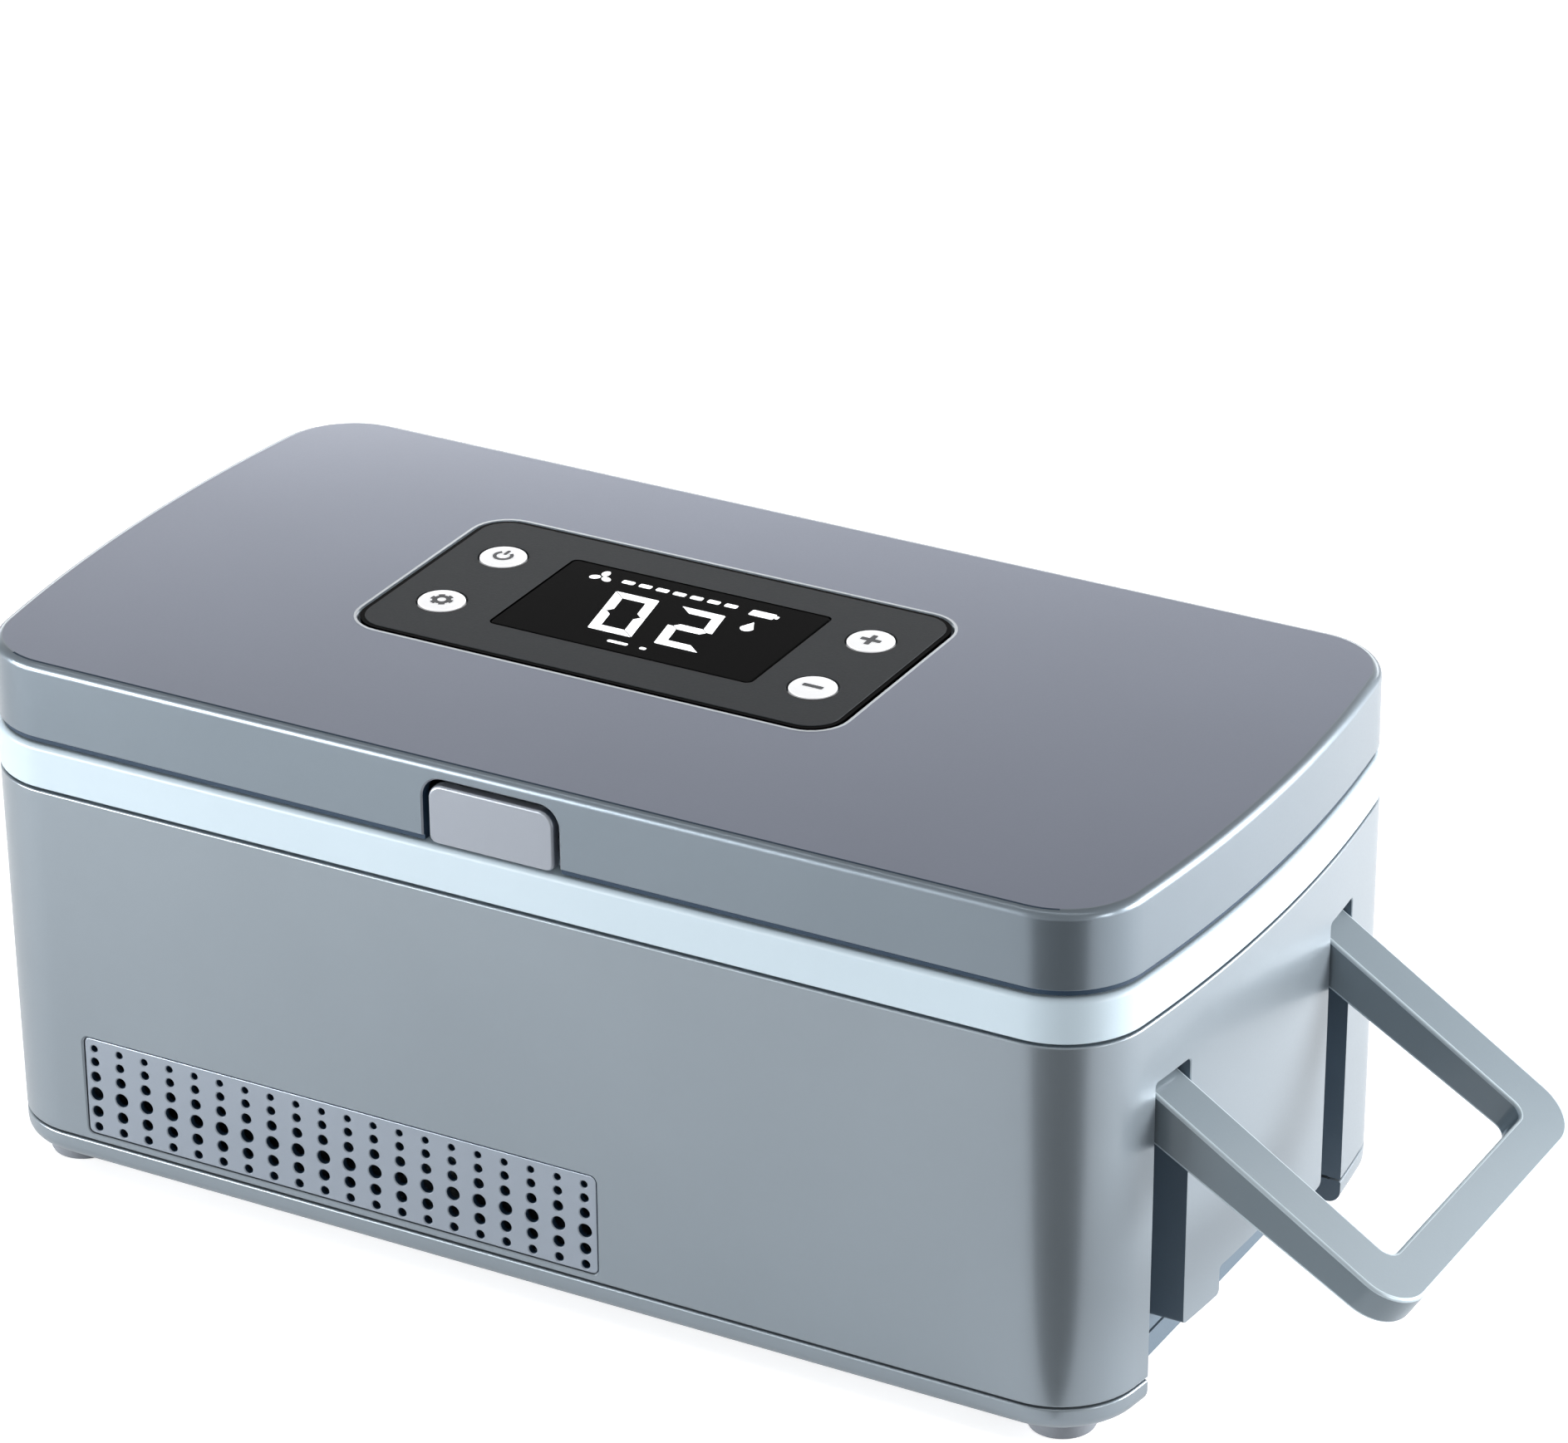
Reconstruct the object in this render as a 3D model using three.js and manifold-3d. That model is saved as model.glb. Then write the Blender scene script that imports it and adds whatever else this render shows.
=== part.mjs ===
// Insulin cooling case: a hinged box with a cooled storage chamber, a display panel and a carrying handle.
// Millimetres, +Z up, +X towards the handle, -Y towards the latch.
// The origin is the middle of the case, at the level of the surface that its feet stand on.
import * as THREE from 'three';
import { mergeVertices } from 'three/addons/utils/BufferGeometryUtils.js';
import Module from 'manifold-3d';

const wasm = await Module();
wasm.setup();

// Plan of the case: straight long sides, bowed ends, round corners
const caseLength = 218;
const caseDepth = 112;
const endBow = 5;
const cornerRadius = 15;
const bodyTaper = 0.65;

// Heights, from the feet up
const footHeight = 3.5;
const baseHeight = 4.3;
const baseSeam = 0.4;
const bodyHeight = 65.1;
const rimSeam = 0.5;
const rimHeight = 7.8;
const partingGap = 0.4;
const lidHeight = 14.5;

// Walls, and the gaps between pieces
const wall = 2.2;
const seat = 0.3;
const overrun = 4;
const cornerSteps = 4;
const endSteps = 6;
const edgeSteps = 2;
const roundSides = 10;
const holeSides = 8;

// Edges of the outer pieces
const baseEdge = 2.4;
const rimEdge = 1.6;
const lidEdge = 1.5;
const lidInset = 0.3;

// Air inlet in the front wall: a plate with graded rows of holes
const ventInset = 23.2;
const ventBottom = 9.6;
const ventWidth = 100;
const ventHeight = 18.3;
const ventPlate = 1.1;
const ventRecess = 0.15;
const ventLedge = 0.5;
const ventFrame = 3;
const ventFrameDepth = 1.5;
const ventColumnPitch = 5.04;
const ventFirstColumn = 1.9;
const ventFirstRow = 1.9;
const ventWeb = 1.1;
const ventHoleDiameters = [1.3, 1.6, 1.9, 2.5, 2.1, 1.6];
const ventHoleSides = 6;

// Carrying handle: a flat bar shaped to a U, on two pins in the end wall
const handleWidth = 70;
const handleReach = 53.3;
const handleCentreY = -3.5;
const handleFaceInset = 2.7;
const handleGroundGap = 0.5;
const handleAngle = 57.2;
const handleOuterCorner = 8;
const handleInnerCorner = 2.5;
const handleCornerSteps = 4;
const armWidth = 9;
const armThickness = 8;
const pivotToFace = 3.75;
const crossbarWidth = 7.6;
const crossbarThickness = 6;
const handlePinDiameter = 3;
const slotSideGap = 0.6;
const slotTopGap = 0.4;
const slotBackGap = 0.5;
const recessGap = 1.3;
const scoopWidth = 28;
const scoopHeight = 5;
const pocketWall = 2;

// Deck with the rim
const deckPlate = 2.4;
const lipGap = 0.3;
const lipThickness = 1.2;
const lipHeight = 3;
const beamDepth = 2.3;
const beamHeight = 3.5;

// Storage chamber that hangs in the deck
const chamberLength = 165;
const chamberDepth = 37.5;
const chamberCorner = 7;
const chamberWall = 2;
const chamberFrontMargin = 20.5;
const mouthFlare = 2;
const mouthHeight = 6;
const floorFillet = 3;
const flangeWidth = 4;
const flangeThickness = 1;
const flangeDrop = 0.1;
const foamThickness = 7.5;
const foamFloor = 5.7;
const foamCorner = 8;

// Cold plate, cold block, thermoelectric module, heat sink and fan, towards the rear wall
const coldPlateLength = 116;
const coldPlateHeight = 24;
const coldPlateThickness = 1.5;
const coldPlateCorner = 1.5;
const coldCentreRise = 17;
const coldBlockLength = 40;
const coldBlockHeight = 24;
const coldBlockDepth = 8.45;
const moduleSize = 30;
const moduleThickness = 3.4;
const moduleCeramic = 0.8;
const moduleCoreInset = 1.2;
const sinkLength = 90;
const sinkBottom = 14;
const sinkHeight = 62;
const sinkBase = 3;
const sinkFin = 1.2;
const sinkFins = 15;
const sinkFinDepth = 5.6;
const fanSize = 50;
const fanDepth = 10;
const fanBottom = 12;
const fanCorner = 3;
const fanRim = 1.4;
const fanBoreSides = 20;
const fanHub = 23;
const fanHubSides = 16;
const fanBlades = 7;
const fanBladeThickness = 1;
const fanBladeAngle = 38;
const fanTipGap = 0.7;
const fanSpider = 2;
const fanSpiderRib = 2.4;
const fanScrewHole = 4.2;
const fanScrewInset = 4;

// Air outlet in the rear wall
const outletSlots = 8;
const outletSlotWidth = 2.6;
const outletSlotHeight = 36;
const outletPitch = 5.4;

// Battery pack: cells side by side in a shrink sleeve, with a protection board along the rear side
const cellCount = 3;
const cellDiameter = 18.2;
const cellLength = 65;
const cellGap = 0.4;
const cellSides = 16;
const cellCap = 5.5;
const cellCapHeight = 0.9;
const sleeveLength = 69;
const sleeveThickness = 0.5;
const sleeveCorner = 3;
const packGap = 3.6;
const packRearGap = 7.15;
const safetyBoardThickness = 1;
const safetyBoardHeight = 12;
const safetyBoardLength = 60;
const packRib = 1.6;
const packRibHeight = 4;
const packRibLength = 24;

// Battery leads and plug
const leadDiameter = 1.6;
const leadPitch = 2.5;
const leadSpread = 5;
const leadSteps = 18;
const leadSides = 6;
const leadEntry = 6;
const plugLength = 9;
const plugWidth = 6;
const plugHeight = 4;
const headerWall = 0.8;
const headerLength = 8;
const headerInsetX = 4;
const headerInsetY = 10;

// Main board and charging socket
const boardInset = 21;
const boardLength = 58;
const boardRearGap = 13.15;
const boardDepth = 64;
const boardThickness = 1.6;
const boardStandoff = 3.5;
const boardCorner = 2;
const boardPartHeight = 8;
const boardPartSink = 0.5;
const standoffDiameter = 6;
const standoffInset = 4;
const socketInset = 10;
const socketWidth = 9;
const socketHeight = 11;
const socketDepth = 15;
const socketBarrel = 8;
const socketBore = 5.6;
const socketBoreDepth = 9;
const socketPin = 2;
const socketSides = 16;

// Components on the main board: place, length and width as shares of the board,
// and height as a share of the tallest one
const boardPartShares = [
  [0.2, 0.2, 0.2, 0.18, 0.9],
  [0.55, 0.16, 0.16, 0.14, 0.35],
  [0.4, 0.5, 0.26, 0.24, 0.25],
  [0.75, 0.45, 0.14, 0.13, 0.3],
  [0.22, 0.75, 0.14, 0.12, 1],
  [0.45, 0.78, 0.16, 0.14, 0.3],
];

// Base: feet, and the screws above them
const footDiameter = 12;
const footInsetX = 15;
const footInsetY = 10.5;
const footSides = 16;
const footSeatDepth = 0.8;
const footEdge = 0.8;
const baseFloor = 2.2;
const baseLipHeight = 1.2;
const postDiameter = 7;
const postRib = 3;
const postHeight = 14;
const bossDiameter = 8.6;
const screwShank = 2.2;
const screwHead = 5.2;
const screwHeadHeight = 1.5;
const screwLength = 12;

// Hinge at the rear
const hingeAxisInset = 2.5;
const hingeBarrel = 4.6;
const hingePin = 1.8;
const hingeSpread = 109;
const leafWidth = 24;
const leafDepth = 7;
const leafThickness = 1.4;
const leafReach = 9.7;
const knuckleCentre = 8;
const knuckleSide = 4.4;
const bracketDepth = 3.2;
const bracketPad = 1.4;
const hingePocketGap = 0.5;
const hingeScrewSpread = 18;
const hingeScrewHead = 3.2;
const hingeScrewHeadHeight = 0.6;
const hingeScrewShank = 1.7;
const hingeScrewGap = 0.2;
const channelDepth = 3.5;
const channelFrontGap = 0.9;

// Lid: inner plate, gasket and foam
const lidPlateRecess = 0.2;
const lidPlateThickness = 2.4;
const gasketMargin = 9.5;
const gasketBand = 4.6;
const gasketCorner = 10;
const gasketSeatDepth = 1;
const lidFoamMargin = 4;
const lidFoamCorner = 6;
const lidFoamGap = 0.4;

// Cable shroud: a strip bent around the hinge axis, from the lid down into the deck
const shroudWidth = 20;
const shroudRadius = 10;
const shroudThickness = 1.2;
const shroudSweep = 86;
const shroudTab = 4;
const shroudSteps = 8;
const shroudSlotGap = 0.4;

// Control panel on the lid, with its window, buttons and board
const panelLength = 91;
const panelDepth = 47.5;
const panelCentreX = -9;
const panelCentreY = 6.3;
const panelCorner = 6;
const panelThickness = 1;
const panelProud = 0.2;
const windowLength = 49.5;
const windowDepth = 28;
const windowShift = 0.7;
const windowCorner = 1;
const windowLip = 1.2;
const buttonDiameter = 8.1;
const buttonSides = 16;
const buttonSpreadX = 70.8;
const buttonSpreadY = 19.8;
const buttonProud = 0.3;
const buttonFlange = 0.9;
const buttonFlangeHeight = 0.6;
const buttonTravel = 0.6;
const displayBoardMargin = 3;
const displayBoardThickness = 1.4;
const switchHeight = 0.9;
const switchDiameter = 5;
const lidPostDiameter = 5;
const lidPostInsetX = 14;
const lidPostInsetY = 3.5;

// Latch: a rocking plate in the lid's front wall, with a hook that drops into the deck
const latchCentreX = -3.5;
const latchWidth = 24;
const latchHeight = 10.7;
const latchRise = 0.3;
const latchThickness = 1.8;
const latchGap = 0.7;
const latchCorner = 3;
const latchLowCorner = 1;
const latchPivotRise = 6;
const latchPivotDepth = 4.5;
const latchBarrel = 4;
const latchBarrelLength = 14;
const latchWeb = 3;
const latchPinDiameter = 1.6;
const latchEarGap = 0.6;
const latchEar = 2.4;
const latchEarDepth = 3.6;
const latchTongueWidth = 9.6;
const latchTongue = 1.8;
const latchTongueOffset = 0.8;
const latchHookDrop = 2.6;
const latchHookHeight = 2.4;
const latchHookNose = 1.2;
const latchSlotSide = 0.7;
const latchSlotFront = 1.9;
const latchSlotRear = 0.4;
const springDiameter = 3.4;
const springWire = 0.5;
const springTurns = 4;
const springSteps = 8;
const springSides = 5;
const springGap = 0.8;
const springRise = 4;
const springLength = 4.3;
const springSeat = 1.5;
const springSeatWidth = 6;

// Heights that follow
const halfLength = caseLength / 2;
const halfDepth = caseDepth / 2;
const baseBottom = footHeight;
const baseTop = baseBottom + baseHeight;
const bodyBottom = baseTop + baseSeam;
const bodyTop = bodyBottom + bodyHeight;
const rimBottom = bodyTop + rimSeam;
const deckTop = rimBottom + rimHeight;
const deckPlateBottom = deckTop - deckPlate;
const lidBottom = deckTop + partingGap;
const lidTop = lidBottom + lidHeight;
const lidRoof = lidTop - wall;
const bodyInset = (z) => bodyTaper * (bodyTop - z) / bodyHeight;
const rearInside = halfDepth - wall - bodyTaper;

// Hinge and channel
const hingeY = halfDepth - lidInset - hingeAxisInset;
const hingeZ = deckTop + partingGap / 4;
const hingeHalf = knuckleCentre / 2 + seat + knuckleSide;
const hingePocket = hingeHalf + hingePocketGap;
const channelFront = hingeY - channelFrontGap;
const channelFloor = deckTop - channelDepth;
const bracketFront = hingeY - hingeBarrel / 2;
const bracketTop = hingeZ - hingeBarrel / 2 - seat;
const leafBottom = deckTop + seat;
const leafFront = hingeY - leafReach;

// The chain from the rear wall to the chamber, and the chamber in front of it
const fanRear = rearInside - seat;
const fanFront = fanRear - fanDepth;
const fanZ = fanBottom + fanSize / 2;
const fanBore = fanSize - 2 * fanRim;
const sinkRear = fanFront - seat;
const sinkFront = sinkRear - sinkFinDepth - sinkBase;
const moduleRear = sinkFront - seat;
const moduleFront = moduleRear - moduleThickness;
const foamRear = moduleFront - seat;
const chamberRear = foamRear - coldBlockDepth;
const chamberFront = -halfDepth + chamberFrontMargin + flangeWidth + mouthFlare;
const chamberWidth = chamberRear - chamberFront;
const chamberHalf = chamberWidth / 2;
const chamberY = chamberFront + chamberHalf;
const chamberTop = deckTop - flangeDrop;
const chamberFloor = chamberTop - chamberDepth;
const coldZ = chamberFloor + coldCentreRise;
const gasketLength = chamberLength + 2 * gasketMargin;
const gasketWidth = chamberWidth + 2 * gasketMargin;

// Handle and its slots
const pivotX = halfLength - handleFaceInset - pivotToFace;
const pivotZ = footHeight + handleGroundGap + handleReach;
const slotBack = pivotX + pivotToFace - armThickness - slotBackGap;
const slotTop = pivotZ + armThickness / 2 + slotTopGap;
const slotOuter = handleWidth / 2 + slotSideGap;
const slotInner = handleWidth / 2 - armWidth - slotSideGap;
const recessBack = pivotX + pivotToFace - crossbarThickness - slotBackGap;
const recessTop = pivotZ - handleReach + crossbarWidth + recessGap;
const scoopTop = recessTop + scoopHeight;

// Battery pack
const packRight = slotBack - pocketWall - packGap;
const packLeft = packRight - sleeveLength;
const packHalfHeight = cellDiameter / 2 + seat + sleeveThickness;
const packZ = baseBottom + baseFloor + seat + packHalfHeight;
const cellPitch = cellDiameter + cellGap;
const packBack = sinkFront - packRearGap;
const safetyBoardY = packBack - sleeveThickness - seat - safetyBoardThickness;
const lastCellY = safetyBoardY - seat - cellDiameter / 2;
const packCentreY = lastCellY - cellPitch * (cellCount - 1) / 2;
const firstCellY = lastCellY - cellPitch * (cellCount - 1);
const packFront = firstCellY - packHalfHeight;

// Air inlet
const ventLeft = -halfLength + ventInset;
const ventColumns = 1 + Math.floor((ventWidth - 2 * ventFirstColumn) / ventColumnPitch);

// Feet
const footX = halfLength - footInsetX;
const footY = halfDepth - footInsetY;

// Main board, header and plug
const boardLeft = -halfLength + boardInset;
const boardFront = rearInside - boardRearGap - boardDepth;
const socketX = boardLeft + socketInset;
const boardZ = baseBottom + baseFloor + boardStandoff;
const boardTop = boardZ + boardThickness;
const headerRight = boardLeft + boardLength - headerInsetX;
const headerLeft = headerRight - headerLength;
const headerY = boardFront + headerInsetY;
const headerHalf = plugWidth / 2 + seat + headerWall;
const headerBottom = boardTop + seat;
const plugBottom = headerBottom + headerWall + seat;
const plugLeft = headerLeft + headerWall + seat;
const socketBottom = boardTop + seat;
const socketZ = socketBottom + socketHeight / 2;
const socketFace = rearInside - seat;

// Lid pieces
const lidPlateBottom = lidBottom + lidPlateRecess;
const lidPlateTop = lidPlateBottom + lidPlateThickness;
const panelTop = lidTop + panelProud;
const panelBottom = panelTop - panelThickness;
const panelFloor = panelBottom - seat;
const windowX = panelCentreX + windowShift;
const windowY = panelCentreY + windowShift;
const flangeTop = lidRoof - seat;
const boardRoof = flangeTop - buttonFlangeHeight - buttonTravel - seat - switchHeight;
const displayBoardBottom = boardRoof - displayBoardThickness;

// Latch places
const latchFront = -halfDepth + lidInset;
const latchBack = latchFront + latchThickness;
const latchBottom = lidBottom + latchRise;
const latchTop = latchBottom + latchHeight;
const latchPivotY = latchFront + latchPivotDepth;
const latchPivotZ = lidBottom + latchPivotRise;
const tongueFront = latchPivotY + latchTongueOffset;
const tongueRear = tongueFront + latchTongue;
const hookTip = tongueRear + latchHookNose;
const hookBottom = deckPlateBottom - latchHookDrop;
const earInner = latchBarrelLength / 2 + latchEarGap;
const springFront = latchBack + springGap;
const springRear = springFront + springLength;

// Materials
function coat(color, roughness, metalness) {
  return new THREE.MeshStandardMaterial({ color, roughness, metalness });
}

// Points of an arc about a centre, from one angle to another
function arc(centreX, centreY, radius, from, to, steps) {
  const points = [];
  for (let step = 0; step <= steps; step += 1) {
    const angle = from + (to - from) * step / steps;
    points.push(new THREE.Vector2(centreX + radius * Math.cos(angle), centreY + radius * Math.sin(angle)));
  }
  return points;
}

// One closed outline from several runs, without the points that repeat where two runs meet
function outline(...runs) {
  const tiny = seat / 1000;
  const points = [];
  for (const point of runs.flat()) {
    if (points.length === 0 || points[points.length - 1].distanceTo(point) > tiny) points.push(point);
  }
  if (points[0].distanceTo(points[points.length - 1]) <= tiny) points.pop();
  return points;
}

// The case's plan, moved inwards by an inset: bowed ends, joined to the sides by round corners
const endRadius = (halfDepth ** 2 + endBow ** 2) / (2 * endBow);
const endCentre = halfLength - endRadius;
const cornerY = halfDepth - cornerRadius;
const cornerX = endCentre + Math.sqrt((endRadius - cornerRadius) ** 2 - cornerY ** 2);
const cornerAngle = Math.atan2(cornerY, cornerX - endCentre);
const quarter = Math.PI / 2;
function plan(inset) {
  const end = endRadius - inset;
  const corner = cornerRadius - inset;
  return outline(
    arc(endCentre, 0, end, -cornerAngle, cornerAngle, endSteps),
    arc(cornerX, cornerY, corner, cornerAngle, quarter, cornerSteps),
    arc(-cornerX, cornerY, corner, quarter, Math.PI - cornerAngle, cornerSteps),
    arc(-endCentre, 0, end, Math.PI - cornerAngle, Math.PI + cornerAngle, endSteps),
    arc(-cornerX, -cornerY, corner, Math.PI + cornerAngle, 3 * quarter, cornerSteps),
    arc(cornerX, -cornerY, corner, 3 * quarter, 4 * quarter - cornerAngle, cornerSteps),
  );
}

// A rectangle with round corners
function roundedRectangle(centreX, centreY, width, height, radius, steps = cornerSteps) {
  const x = width / 2 - radius;
  const y = height / 2 - radius;
  return outline(
    arc(centreX + x, centreY + y, radius, 0, quarter, steps),
    arc(centreX - x, centreY + y, radius, quarter, 2 * quarter, steps),
    arc(centreX - x, centreY - y, radius, 2 * quarter, 3 * quarter, steps),
    arc(centreX + x, centreY - y, radius, 3 * quarter, 4 * quarter, steps),
  );
}

const circle = (x, y, diameter, sides) => outline(arc(x, y, diameter / 2, 0, 2 * Math.PI, sides));

// A closed mesh as a solid that can be joined and cut
function solid(geometry) {
  geometry.deleteAttribute('normal');
  geometry.deleteAttribute('uv');
  const merged = mergeVertices(geometry);
  const vertProperties = new Float32Array(merged.attributes.position.array);
  const triVerts = new Uint32Array(merged.index.array);
  return new wasm.Manifold(new wasm.Mesh({ numProp: 3, vertProperties, triVerts }));
}

// How a shape drawn flat and raised along z lies when it runs along another axis.
// Along x its flat coordinates are y and z, and along y they are z and x.
const unit = { x: new THREE.Vector3(1, 0, 0), y: new THREE.Vector3(0, 1, 0), z: new THREE.Vector3(0, 0, 1) };
const along = {
  x: new THREE.Matrix4().makeBasis(unit.y, unit.z, unit.x),
  y: new THREE.Matrix4().makeBasis(unit.z, unit.x, unit.y),
  z: new THREE.Matrix4(),
};

// A solid through outlines with equally many points, each given with its place on the axis
function stack(levels, axis = 'z') {
  const count = levels[0][0].length;
  const position = levels.flatMap(([points, place]) => points.flatMap((point) => [point.x, point.y, place]));
  const index = [];
  for (let level = 0; level < levels.length - 1; level += 1) {
    for (let here = 0; here < count; here += 1) {
      const next = (here + 1) % count;
      const low = level * count;
      const high = low + count;
      index.push(low + here, low + next, high + next, low + here, high + next, high + here);
    }
  }
  const last = (levels.length - 1) * count;
  for (const [a, b, c] of THREE.ShapeUtils.triangulateShape(levels[0][0], [])) index.push(c, b, a);
  for (const [a, b, c] of THREE.ShapeUtils.triangulateShape(levels[levels.length - 1][0], [])) {
    index.push(last + a, last + b, last + c);
  }
  const geometry = new THREE.BufferGeometry();
  geometry.setAttribute('position', new THREE.Float32BufferAttribute(position, 3));
  geometry.setIndex(index);
  return solid(geometry.applyMatrix4(along[axis]));
}

const prism = (points, from, to, axis = 'z') => stack([[points, from], [points, to]], axis);
function rod(axis, [u, v], diameter, from, to, sides = roundSides) {
  return prism(circle(u, v, diameter, sides), from, to, axis);
}

// A block between two x, two y and two z
function block([left, right], [front, back], [bottom, top]) {
  const geometry = new THREE.BoxGeometry(right - left, back - front, top - bottom);
  return solid(geometry.translate((left + right) / 2, (front + back) / 2, (bottom + top) / 2));
}

// A span of a given size about a middle
const span = (middle, size) => [middle - size / 2, middle + size / 2];

// A tube along a curve
function tube(curve, diameter, steps, sides) {
  const shape = new THREE.Shape(circle(0, 0, diameter, sides));
  return solid(new THREE.ExtrudeGeometry(shape, { steps, extrudePath: curve, bevelEnabled: false }));
}

const join = (first, ...rest) => rest.reduce((all, one) => all.add(one), first);
const cut = (from, ...tools) => tools.reduce((rest, one) => rest.subtract(one), from);
const both = [-1, 1];
const corners = both.flatMap((x) => both.map((y) => [x, y]));

// The outside of a shell whose plan follows an inset, with its lower or upper edge rounded
function shellSides(insetAt, bottom, top, lowEdge, highEdge) {
  const levels = [];
  for (let step = 0; step <= edgeSteps && lowEdge > 0; step += 1) {
    const turn = quarter * step / edgeSteps;
    const z = bottom + lowEdge * (1 - Math.cos(turn));
    levels.push([plan(insetAt(z) + lowEdge * (1 - Math.sin(turn))), z]);
  }
  if (lowEdge === 0) levels.push([plan(insetAt(bottom)), bottom]);
  for (let step = 0; step <= edgeSteps && highEdge > 0; step += 1) {
    const turn = quarter * step / edgeSteps;
    const z = top - highEdge * (1 - Math.sin(turn));
    levels.push([plan(insetAt(z) + highEdge * (1 - Math.cos(turn))), z]);
  }
  if (highEdge === 0) levels.push([plan(insetAt(top)), top]);
  return stack(levels);
}

// The room that the folded handle takes in the end wall, and the walls around it
function handleRoom() {
  const out = [recessBack, halfLength + overrun];
  const slots = both.map((side) => block(
    [slotBack, halfLength + overrun],
    span(handleCentreY + side * (slotOuter + slotInner) / 2, slotOuter - slotInner),
    [recessTop - recessGap, slotTop],
  ));
  const recess = block(out, span(handleCentreY, 2 * slotOuter), [-overrun, recessTop]);
  const scoop = block(out, span(handleCentreY, scoopWidth), [recessTop - recessGap, scoopTop]);
  return join(recess, scoop, ...slots);
}

function handlePocket() {
  const out = [recessBack - pocketWall, halfLength + overrun];
  const width = 2 * (slotOuter + pocketWall);
  const slots = both.map((side) => block(
    [slotBack - pocketWall, halfLength + overrun],
    span(handleCentreY + side * (slotOuter + slotInner) / 2, slotOuter - slotInner + 2 * pocketWall),
    [recessTop - recessGap - pocketWall, slotTop + pocketWall],
  ));
  const recess = block(out, span(handleCentreY, width), [-overrun, recessTop + pocketWall]);
  const scoopSides = span(handleCentreY, scoopWidth + 2 * pocketWall);
  const scoop = block(out, scoopSides, [recessTop, scoopTop + pocketWall]);
  return join(recess, scoop, ...slots);
}

function bodyShell() {
  const outer = shellSides(bodyInset, bodyBottom, bodyTop, 0, 0);
  const low = bodyBottom - overrun;
  const high = bodyTop + overrun;
  const cavity = stack([[plan(wall + bodyInset(low)), low], [plan(wall + bodyInset(high)), high]]);
  const ventMiddle = ventLeft + ventWidth / 2;
  const ventMiddleZ = ventBottom + ventHeight / 2;
  const ventFace = -halfDepth + bodyTaper + ventRecess;
  const ventFloor = ventFace + ventPlate + seat;
  const frameBack = -halfDepth + bodyTaper + wall + ventFrameDepth;
  const frame = block(
    span(ventMiddle, ventWidth + 2 * ventFrame), [-halfDepth, frameBack],
    [bodyBottom, ventBottom + ventHeight + ventFrame],
  );
  const posts = corners.flatMap(([x, y]) => [
    rod('z', [x * footX, y * footY], postDiameter, bodyBottom, bodyBottom + postHeight),
    block(span(x * footX, postRib), span(y * (footY + halfDepth) / 2, halfDepth - footY),
      [bodyBottom, bodyBottom + postHeight]),
  ]);
  const inside = join(frame, handlePocket(), ...posts).intersect(outer);
  const pocket = block(
    span(ventMiddle, ventWidth + 2 * seat), [-halfDepth - overrun, ventFloor],
    span(ventMiddleZ, ventHeight + 2 * seat),
  );
  const window = block(
    span(ventMiddle, ventWidth - 2 * ventLedge), [-halfDepth - overrun, frameBack + overrun],
    span(ventMiddleZ, ventHeight - 2 * ventLedge),
  );
  const outlets = Array.from({ length: outletSlots }, (_, slot) => prism(
    roundedRectangle(fanZ, (slot - (outletSlots - 1) / 2) * outletPitch, outletSlotHeight, outletSlotWidth,
      outletSlotWidth / 3, edgeSteps),
    rearInside - overrun, halfDepth + overrun, 'y',
  ));
  const pinHoles = both.map((side) => rod('y', [pivotZ, pivotX], handlePinDiameter + 2 * seat,
    handleCentreY + side * (slotOuter + slotInner) / 2 - slotOuter + slotInner,
    handleCentreY + side * (slotOuter + slotInner) / 2 + slotOuter - slotInner));
  const screwHoles = corners.map(([x, y]) => rod('z', [x * footX, y * footY], screwShank + 2 * seat,
    bodyBottom - overrun, bodyBottom + postHeight - seat, holeSides));
  return cut(
    join(cut(outer, cavity), inside), pocket, window, handleRoom(), ...outlets, ...pinHoles, ...screwHoles,
    rod('y', [socketZ, socketX], socketBarrel + 2 * seat, rearInside - seat, halfDepth + overrun,
      socketSides),
  );
}

function ventGrille() {
  const shape = new THREE.Shape(roundedRectangle(ventBottom + ventHeight / 2, ventLeft + ventWidth / 2,
    ventHeight, ventWidth, ventPlate, edgeSteps));
  let row = ventBottom + ventHeight - ventFirstRow;
  ventHoleDiameters.forEach((diameter, index) => {
    if (index > 0) row -= (ventHoleDiameters[index - 1] + diameter) / 2 + ventWeb;
    for (let column = 0; column < ventColumns; column += 1) {
      const x = ventLeft + ventFirstColumn + column * ventColumnPitch;
      shape.holes.push(new THREE.Path(circle(row, x, diameter, ventHoleSides)));
    }
  });
  const geometry = new THREE.ExtrudeGeometry(shape, { depth: ventPlate, bevelEnabled: false });
  const face = -halfDepth + bodyTaper + ventRecess;
  return solid(geometry.translate(0, 0, face).applyMatrix4(along.y));
}

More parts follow.
